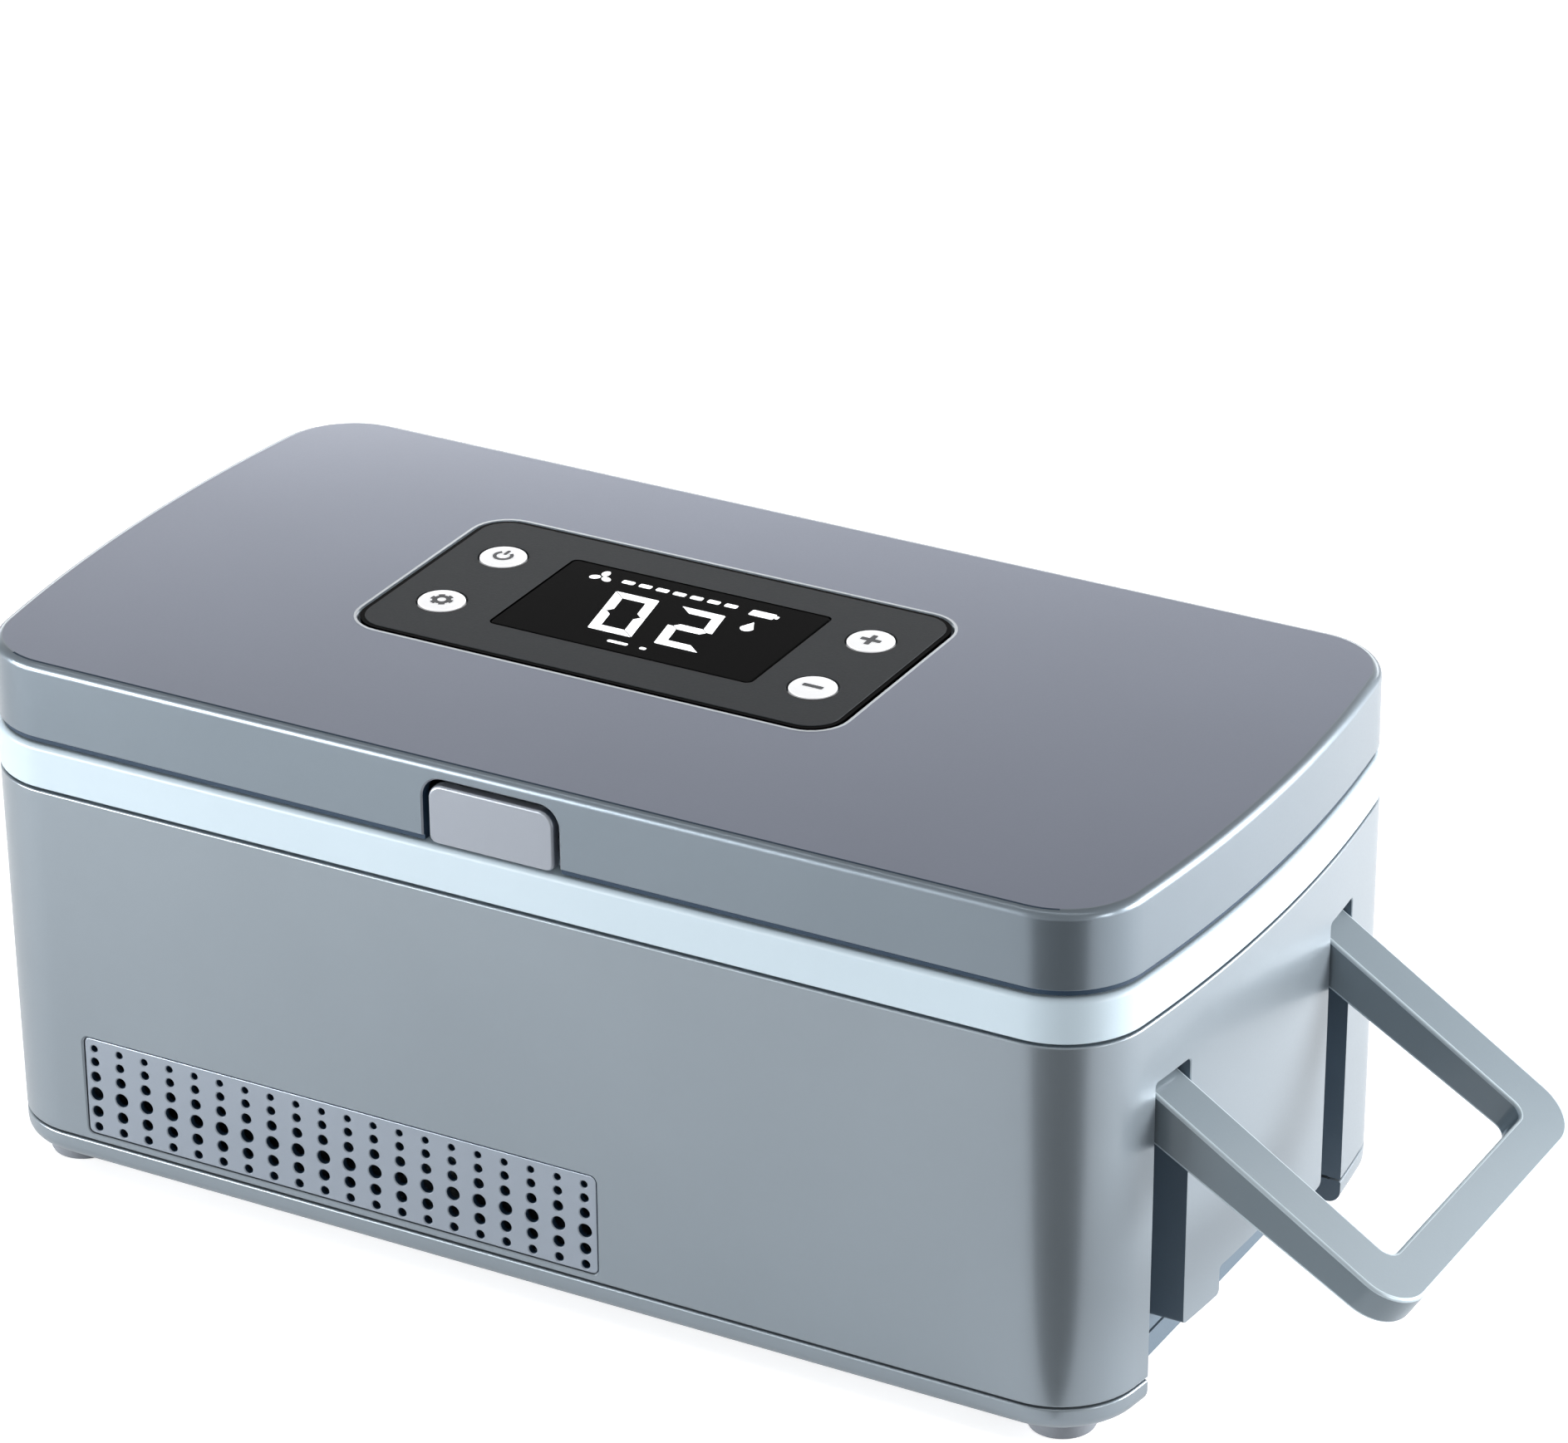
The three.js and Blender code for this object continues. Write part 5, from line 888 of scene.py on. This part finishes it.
# The bevel faces take the lighter finish: a painted highlight.
dress(handle, handle_grey, "handle", "handle", slot="handle_grey", bevel=HANDLE_BEVEL,
      edge_material=handle_edge_highlight)

# %% [markdown]
# ## The latch
#
# The latch plate lies flush in the lid's front wall and rocks on a pin behind it. Its
# barrel, web and hook are joined to the plate, as in one moulding. The hook shows when
# the lid is open.

# %% Latch
PLATE_EDGE = ((0.95, 0), (0.7, 0.06), (0.5, 0.22), (0.4, 0.5), (0.4, 1.8))
TONGUE_FRONT, TONGUE_REAR, HOOK_TIP, HOOK_BOTTOM, HOOK_TOP = -50.4, -48.6, -47.4, 76.6, 79.0
latch = stack("latch_plate", latch_outline, [(-inset, LATCH_FRONT + y) for inset, y in PLATE_EDGE], "y")
hook_side = np.array([(TONGUE_FRONT, HOOK_BOTTOM), (TONGUE_REAR, HOOK_BOTTOM),
                      (HOOK_TIP, HOOK_BOTTOM + 1.2), (HOOK_TIP, HOOK_TOP), (TONGUE_REAR, HOOK_TOP),
                      (TONGUE_REAR, PIVOT_Z), (TONGUE_FRONT, PIVOT_Z)])
hook = prism("hook", hook_side, *span(LATCH_X, 4.8), "x")
web = block(span(LATCH_X, 7), (LATCH_BACK - 0.9, PIVOT_Y), span(PIVOT_Z, 1.5))
barrel = rod("x", (PIVOT_Y, PIVOT_Z), BARREL, *span(LATCH_X, 7))
join(latch, web, barrel, hook)
cut(latch, latch_bore())
dress(latch, latch_satin_and_chamfer_highlight, "latch", "latch_button", slot="shell_trim")

# %% [markdown]
# ## The control panel
#
# The panel is a thin graphite sheet with a low step along its edge. The step, the sheet's
# sides and the walls of its holes are painted black as painted shade, so the step reads as a
# dark outline. The display window sits in it, and four round buttons come up through it. The
# display's figures and the small signs are flat meshes raised by a few hundredths of a
# millimetre. A text object could show figures, but these digits are made of bars.

# %% Panel and window
BORDER, BORDER_TOP, FINE = 0.8, 96.58, 0.12
window_plan = plan(*WINDOW, 1.0)
panel = stack("panel_sheet", panel_plan, [(0, PANEL_BOTTOM), (0, BORDER_TOP), (-BORDER, BORDER_TOP),
                                          (-BORDER - 0.05, PANEL_TOP)])
window_cut = prism("window_cut", window_plan(SEAT), 95, 98)
button_cuts = [turned("button_cut", at, lead_in(BUTTON / 2 + SEAT, 95, PANEL_TOP, FINE))
               for at in BUTTON_PLACES]
cut(panel, window_cut, button_cuts)
dress(panel, graphite, "lid", "control_panel", slot="panel")
# The panel's step, sides and hole walls are painted black: painted shade.
repaint(panel, black_glass_and_ledge_shade, lambda x, y, z, normal: z < BORDER_TOP + 0.01)
glass = stack("display_glass", window_plan, [(0, PANEL_BOTTOM), (0, PANEL_TOP - FINE), (-FINE, PANEL_TOP)])
dress(glass, black_glass_and_ledge_shade, "lid", "display_window", slot="window")

# %% Signs on the display
MARK_TOP = PANEL_TOP + 0.04
DIGIT_WIDTH, DIGIT_HEIGHT, STROKE, BREAK, LEAN = 8.3, 14.4, 1.9, 0.12, -0.2
DIGIT_LEFTS, DIGIT_BOTTOM = (-17.6, -4.9), -1.1
ZERO = ("top", "bottom", "upper_left", "upper_right", "lower_left", "lower_right")
TWO = ("top", "bottom", "middle", "upper_right", "lower_left")
LEVEL_BARS = [(-20.4 + number * 3.3, 17.2, 2.3, 1.2, 0.3) for number in range(7)]
OTHER_BARS = [(5.7, 16.7, 4.6, 2.0, 0.3), (8.4, 16.7, 0.6, 1.0, 0.2), (-10.2, -3.9, 3.8, 0.8, 0.3),
              (-5.4, -3.9, 1.2, 0.8, 0.3)]
FAN_MIDDLE, BLADE_OUT, BLADE_THIN = np.array((-25.5, 17.2)), 1.25, (1, 0.72)
DROP_X, DROP_Y, DROP_TIP, DROP_RADIUS = 5.9, 11.0, 13.4, 1.2


def bars(lit):
    """The lit bars of a seven-bar digit, mitred where they meet."""
    w, h, t, g = DIGIT_WIDTH, DIGIT_HEIGHT, STROKE, BREAK
    middle = h / 2
    top = np.array([(g, h), (t + g, h - t), (w - t - g, h - t), (w - g, h)])
    left = np.array([(0, h - g), (0, middle + g), (t / 2, middle + g), (t, middle + t / 2 + g),
                     (t, h - t - g)])
    across = np.array([(t / 2 + g, middle), (t + g, middle - t / 2), (w - t - g, middle - t / 2),
                       (w - t / 2 - g, middle), (w - t - g, middle + t / 2), (t + g, middle + t / 2)])
    over, down = np.array([(w, 0)]), np.array([(0, h)])
    shapes = {"top": top, "bottom": down + top * (1, -1), "middle": across, "upper_left": left,
              "upper_right": over + left * (-1, 1), "lower_left": down + left * (1, -1),
              "lower_right": over + down + left * (-1, -1)}
    return [shapes[name] for name in lit]


def flat_mark(outline, bottom=PANEL_TOP - 0.02, top=MARK_TOP):
    return prism("mark", outline, bottom, top)


def blade(number):
    """One of three petals: a flat circle beside the middle, turned by thirds of a turn."""
    angle = number * 4 * QUARTER / 3 + QUARTER
    spin = np.array([(math.cos(angle), math.sin(angle)), (-math.sin(angle), math.cos(angle))])
    return FAN_MIDDLE + (arc(BLADE_OUT, 0, 1, 0, 4 * QUARTER, 20)[:-1] * BLADE_THIN) @ spin


outlines = [blade(number) for number in range(3)]
for digit_left, lit in zip(DIGIT_LEFTS, (ZERO, TWO)):
    outlines += [bar + np.column_stack([bar[:, 1] * LEAN, bar[:, 1] * 0]) + (digit_left, DIGIT_BOTTOM)
                 for bar in bars(lit)]
outlines += [rounded_rectangle(*bar, steps=3) for bar in LEVEL_BARS + OTHER_BARS]
drop = arc(DROP_X, DROP_Y, DROP_RADIUS, 2 * QUARTER, 4 * QUARTER, 14)
outlines.append(np.concatenate([drop, [(DROP_X, DROP_TIP)]]))
marks = gather("display_marks", [flat_mark(outline) for outline in outlines])
dress(marks, screen_white, "lid", slot="button_white")

# %% [markdown]
# ## The buttons
#
# Each button is a turned cap with a flange that keeps it under the panel. Its sign is a
# separate flat piece that rides on the same body, so it goes down with the button. The
# signs are ones that any appliance has: power, settings, less and more.

# %% Buttons
CAP_EDGE, CAP_TOP, SIGN_TOP, SIGN_STEP = 96.86, 96.93, 96.97, 0.004
CAP_PROFILE = [(4.95, 93.4), (4.95, 94.0), (4.05, 94.05), (4.05, 96.55), (3.99, 96.74), (3.84, CAP_EDGE),
               (3.0, CAP_TOP - 0.02), (1.5, CAP_TOP)]
NAMES = ("settings", "power", "minus", "plus")
POWER_GAP, TOOTH, GEAR_START = 0.66, 0.3, 0.1


def band(x, y, inner_radius, outer_radius, start, stop):
    """A strip between two arcs."""
    return np.concatenate([arc(x, y, outer_radius, start, stop, 24),
                           arc(x, y, inner_radius, stop, start, 24)])


def sign_shapes(name, x, y):
    """Outlines of a button's sign, drawn about its centre."""
    if name == "power":
        return [band(x, y, 1.15, 1.8, QUARTER + POWER_GAP, 5 * QUARTER - POWER_GAP),
                rounded_rectangle(x, y + 1.3, 0.6, 1.8, 0.2, steps=3)]
    if name == "settings":
        teeth = [band(x, y, 1.2, 2.0, *span(turn, TOOTH)) for turn in np.arange(6) * 4 * QUARTER / 6]
        halves = [band(x, y, 0.75, 1.6, start, start + 2 * QUARTER)
                  for start in (GEAR_START, GEAR_START + 2 * QUARTER)]
        return teeth + halves
    sizes = [(3.7, 0.95), (0.95, 3.7)] if name == "plus" else [(3.7, 0.95)]
    return [rounded_rectangle(x, y, width, height, 0.2, steps=3) for width, height in sizes]


for name, (x, y) in zip(NAMES, BUTTON_PLACES):
    cap = turned(f"cap_{name}", (x, y), CAP_PROFILE, sides=64)
    # The cap takes the glowing white finish: painted light.
    dress(cap, button_white, f"{name}_button", f"button_{name}", slot="button_white")
    shapes = [flat_mark(outline, CAP_EDGE, SIGN_TOP - SIGN_STEP * index)
              for index, outline in enumerate(sign_shapes(name, x, y))]
    dress(gather(f"sign_{name}", shapes), icon_grey, f"{name}_button", slot="panel")

# %% [markdown]
# ## Inside the lid
#
# With the lid open its light blue lining shows, with the black gasket in a groove. The
# lining takes the hinge leaves in shallow pockets and has a gap where the latch reaches
# through. The gasket is a ring with a crowned section, as an extruded seal has.

# %% Lining and gasket
LINING_BOTTOM, LINING_TOP, LINING_INSET, LINING_EDGE = 82.2, 84.6, 2.8, 0.3
GASKET_LENGTH, GASKET_WIDTH, GASKET_CORNER, GASKET_BAND, GROOVE_ROOF = 184.0, 70.0, 10.0, 4.6, 83.2
LEAF_WIDTH, LEAF_FRONT, LEAF_DEPTH, LEAF_BOTTOM, LEAF_TOP = 24.0, 43.5, 7.0, 81.9, 83.3
SCREW_PLACE, SCREW_Y, UNDER, UPPER, CUT_HALF = 9, 47, 78, 88, 10.3
BEAD = [(0, 82.9), (0, 82.25), (-0.18, 82.0), (-0.6, 81.9), (-1.5, 81.94), (-2.3, 81.9), (-3.1, 81.94),
        (-4.0, 81.9), (-4.42, 82.0), (-4.6, 82.25), (-4.6, 82.9)]
gasket_plan = plan(0, CHAMBER_Y, GASKET_LENGTH, GASKET_WIDTH, GASKET_CORNER, steps=10)
lining = solid("lid_lining", wall_levels(case_plan, LINING_BOTTOM, LINING_TOP, LINING_EDGE, 0,
                                         lambda z: LINING_INSET, 3))
within = -GASKET_BAND - SEAT
groove = stack("groove", gasket_plan, [(SEAT, 80), (SEAT, GROOVE_ROOF), (within, GROOVE_ROOF),
                                       (within, 80)], ring=True)
leaf_rooms = [block(span(side * HINGE_SPREAD, LEAF_WIDTH / 2 + SEAT), (LEAF_FRONT - SEAT, BRACKET_FRONT),
                    (UNDER, LEAF_TOP + SEAT)) for side in BOTH]
latch_room = block(span(LATCH_X, CUT_HALF), (-70, HOOK_TIP + 0.7), (UNDER, UPPER))
neck_room = block(span(0, CUT_HALF), (HINGE_Y - SHROUD_OUTER - SEAT, HINGE_Y - SHROUD_INNER + SEAT),
                  (UNDER, UPPER))
screw_rooms = [rod("z", (side * HINGE_SPREAD + end * SCREW_PLACE, SCREW_Y), 2.3, UNDER, UPPER)
               for side, end in CORNERS]
cut(lining, groove, *leaf_rooms, latch_room, neck_room, screw_rooms, *[hinge_notch(side) for side in BOTH])
dress(lining, light_blue, "lid", "lid_plate", slot="light_blue")
seal = stack("gasket_bead", gasket_plan, BEAD, ring=True)
dress(seal, rubber, "lid", "lid_gasket", slot="gasket_rubber")

# %% [markdown]
# ## Hinges and wire cover
#
# Each hinge has a leaf on the lid, whose knuckle turns between the two knuckles of a
# bracket in the deck. Plates and barrels are joined and their edges bevelled, as pressed
# metal has no sharp edge. Between the hinges a curved strip about the same axis covers the
# wires, so it slides into the deck as the lid closes.

# %% Hinges
KNUCKLE, HOLDER_HALF, HOLDER_GAP, HAIR, METAL_BEVEL = 4, 8.7, 4.3, 0.01, 0.15
HEAD_ROOM = [(1.8, 80), (1.8, 82.7), (1.15, 82.71), (1.15, 88)]
PIN = [(0.65, -8.7), (0.825, -8.625), (0.9, -8.45), (0.9, 8.45), (0.825, 8.625), (0.65, 8.7)]
BOLT = [(1.2, 81.9), (1.5, 82.0), (1.6, 82.2), (1.6, 82.5), (0.85, 82.52), (0.85, 84.4)]


def hinge_rod(diameter, ends, sides):
    return rod("x", (HINGE_Y, HINGE_Z), diameter, *ends, sides)


def hinge(side, label):
    """The leaf with its screws, the bracket and the pin of one hinge."""
    x = side * HINGE_SPREAD
    screws = [x + end * SCREW_PLACE for end in BOTH]
    leaf_plan = rounded_rectangle(x, LEAF_FRONT + LEAF_DEPTH / 2, LEAF_WIDTH, LEAF_DEPTH, 0.8)
    leaf = prism(f"hinge_plate_{label}", leaf_plan, LEAF_BOTTOM, LEAF_TOP)
    join(leaf, block(span(x, KNUCKLE), (LEAF_FRONT + 1, HINGE_Y), (LEAF_BOTTOM + HAIR, LEAF_TOP - HAIR)),
         hinge_rod(HINGE_BARREL, span(x, KNUCKLE), 40))
    head_rooms = [turned("head", (screw_x, SCREW_Y), HEAD_ROOM) for screw_x in screws]
    cut(leaf, hinge_rod(2.4, span(x, 12), 24), head_rooms)
    dress(leaf, hinge_metal, "lid", f"hinge_leaf_{label}", slot="hinge_steel", bevel=METAL_BEVEL)
    holder = block(span(x, HOLDER_HALF), (BRACKET_FRONT, BRACKET_FRONT + BRACKET_DEPTH),
                   (BRACKET_TOP - BRACKET_PAD, BRACKET_TOP), f"hinge_holder_{label}")
    for end in BOTH:
        ends = sorted((x + end * HOLDER_GAP, x + end * HOLDER_HALF))
        join(holder, block(ends, (BRACKET_FRONT + HAIR, BRACKET_FRONT + BRACKET_DEPTH - HAIR),
                           (BRACKET_TOP - 0.7, HINGE_Z)), hinge_rod(HINGE_BARREL, ends, 40))
    cut(holder, hinge_rod(2.4, span(x, 12), 24))
    dress(holder, hinge_metal, "case", f"hinge_bracket_{label}", slot="hinge_steel", bevel=METAL_BEVEL)
    profile = [(radius, x + place) for radius, place in PIN]
    pin = turned(f"hinge_rod_{label}", (HINGE_Y, HINGE_Z), profile, "x", 24)
    dress(pin, steel, "case", f"hinge_pin_{label}", slot="screw_steel")
    for number, screw_x in enumerate(screws, 1):
        screw = turned(f"hinge_bolt_{label}_{number}", (screw_x, SCREW_Y), BOLT, sides=32)
        cut(screw, prism("socket", arc(screw_x, SCREW_Y, 0.75, 0, 4 * QUARTER, 6)[:-1], 81, 82.35))
        dress(screw, screw_metal, "lid", f"hinge_screw_{label}_{number}", slot="screw_steel")


for side, label in zip(BOTH, ("left", "right")):
    hinge(side, label)

# %% Wire cover
SWEEP_END = 2 * QUARTER + math.radians(86)
NECK_TOP, NECK_BOTTOM, NECK_OUT = 86.1, 84.9, HINGE_Y - SHROUD_OUTER - 4
cover_side = np.concatenate([
    [(HINGE_Y - SHROUD_INNER, NECK_TOP), (NECK_OUT, NECK_TOP)],
    [(NECK_OUT, NECK_BOTTOM), (HINGE_Y - SHROUD_OUTER, NECK_BOTTOM)],
    arc(HINGE_Y, HINGE_Z, SHROUD_OUTER, 2 * QUARTER, SWEEP_END, 28),
    arc(HINGE_Y, HINGE_Z, SHROUD_INNER, SWEEP_END, 2 * QUARTER, 28),
])
wire_cover = prism("wire_cover", cover_side, *span(0, SHROUD_WIDTH / 2), "x")
dress(wire_cover, light_blue, "lid", "cable_shroud", slot="light_blue", bevel=0.2)

# %% [markdown]
# ## The storage chamber
#
# The chamber is one seamless tub: the run of outlines goes up the outside, over the flange
# and the flared mouth, and down the inside to the rounded floor. The cold plate in front of
# its rear wall is brushed along its length, so its noise is stretched along x.

# %% Chamber and cold plate
CHAMBER_FLOOR, FILLET, CHAMBER_REAR = 44.0, 3.0, 21.5
COLD_Z, COLD_LENGTH, COLD_HEIGHT, COLD_BLOCK, COLD_ROOM = 61.0, 116, 24, 20.3, 12.3
MOUTH_START = CHAMBER_TOP - MOUTH_HEIGHT
MOUTH_RUN = [(2.0, MOUTH_START), (3.66, CHAMBER_TOP - 1), (6.0, CHAMBER_TOP - 1), (6.0, CHAMBER_TOP - 0.3),
             (5.7, CHAMBER_TOP), (2.5, CHAMBER_TOP), (1.9, CHAMBER_TOP - 0.35), (1.6, CHAMBER_TOP - 1.2),
             (0.35, MOUTH_START + 0.8), (0.0, MOUTH_START)]
COLD_EDGE = [(-0.4, 19.7), (-0.12, 19.82), (0, 20.1), (0, 21.2)]


def floor_levels(offset, steps=6):
    """A quarter round of radius r = fillet + offset: the outline grows by r·sin t - fillet, at
    r·cos t below the fillet's centre."""
    radius = FILLET + offset
    return [(radius * math.sin(t) - FILLET, CHAMBER_FLOOR + FILLET - radius * math.cos(t))
            for t in np.linspace(0, QUARTER, steps + 1)]


tub = stack("chamber_liner", chamber_plan, floor_levels(CHAMBER_WALL) + MOUTH_RUN + floor_levels(0)[::-1])
cut(tub, block(span(0, COLD_BLOCK), (CHAMBER_REAR - 0.3, 30), span(COLD_Z, COLD_ROOM)))
dress(tub, light_blue, "case", "chamber_tub", slot="light_blue")
cold = stack("cooled_plate", plan(0, COLD_Z, COLD_LENGTH, COLD_HEIGHT, 1.5), COLD_EDGE, "y")
dress(cold, brushed_metal, "case", "cold_plate", slot="aluminium")

# %% [markdown]
# ## Feet and charging socket
#
# The feet are turned pads with a shallow dish underneath. The socket is a block with a
# round mouth, a bore and a centre pin, joined and cut like the real moulding.

# %% Feet
FOOT_PROFILE = [(3.4, 0.35), (3.8, 0.02), (4.9, 0.0), (5.5, 0.2), (5.75, 0.7), (5.8, 2.4), (6.0, 2.5),
                (6.0, 4.0)]
for (x, y), label in zip(CORNERS, ("front_left", "rear_left", "front_right", "rear_right")):
    pad = turned(f"pad_{label}", (x * FOOT_X, y * FOOT_Y), FOOT_PROFILE, sides=64)
    dress(pad, foot_rubber, "case", f"foot_{label}", slot="foot_rubber")

# %% Charging socket
socket = block(span(SOCKET[0], 4.5), (37.85, 52.85), span(SOCKET[1], 5.5), "charge_socket")
join(socket, turned("mouth", SOCKET, [(4, 50.65), (4, 54.85), (3.8, 55.05)], "y"))
cut(socket, turned("bore", SOCKET, lead_in(2.8, 46.05, 54.95, 0.2), "y"))
join(socket, turned("pin", SOCKET, [(1, 45.5), (1, 52.5), (0.6, 52.85)], "y", 24))
dress(socket, black_plastic, "case", "dc_socket", slot="black_plastic")

# %% [markdown]
# ## Pieces that keep their CAD mesh
#
# The works inside show only when the case is taken apart, and the CAD mesh has their true
# form. Each gets a finish of its own: extruded metal for the sink, a green board, foam with
# closed cells. A CAD object is never moved or edited here.

# %% Finishes for CAD nodes
hidden_finishes = {
    "foam_jacket lid_foam": finish("closed_foam", (235, 236, 232), 0.92, grain=0.6, cloud=0.04, sheen=0.2),
    "cold_block": brushed_metal,
    "heat_sink": finish("extruded_aluminium", (170, 173, 176), 0.4, metallic=0.9, effect_group=brushed,
                        grain=0.25),
    "peltier_module": finish("white_ceramic", (240, 239, 233), 0.55),
    "fan_frame fan_rotor": black_plastic,
    "main_board display_board": finish("circuit_board", (28, 92, 54), 0.5, coat=0.4, grain=0.12,
                                       cloud=0.2),
    "board_header battery_plug": finish("white_nylon", (240, 238, 230), 0.45),
    "battery_wrap": finish("shrink_sleeve", (12, 104, 204), 0.3, coat=0.5, grain=0.1, cloud=0.1),
    "battery_cell_1 battery_cell_2 battery_cell_3": finish("cell_can", (150, 153, 158), 0.3, metallic=0.9),
    "protection_board": finish("protection_strip", (196, 176, 92), 0.5, coat=0.2, cloud=0.12),
    "battery_lead_red": finish("red_insulation", (186, 22, 30), 0.45, cloud=0.1),
    "battery_lead_black": finish("black_insulation", (24, 24, 26), 0.45, cloud=0.1),
    "base_screw_front_left base_screw_rear_left base_screw_front_right base_screw_rear_right": steel,
    "handle_pin_front handle_pin_rear latch_pin latch_spring": steel,
}
for words, material in hidden_finishes.items():
    for node in words.split():
        for material_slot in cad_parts[node].material_slots:
            material_slot.material = material
        plain_nodes.discard(node)
print("nodes without a new finish:", sorted(plain_nodes))
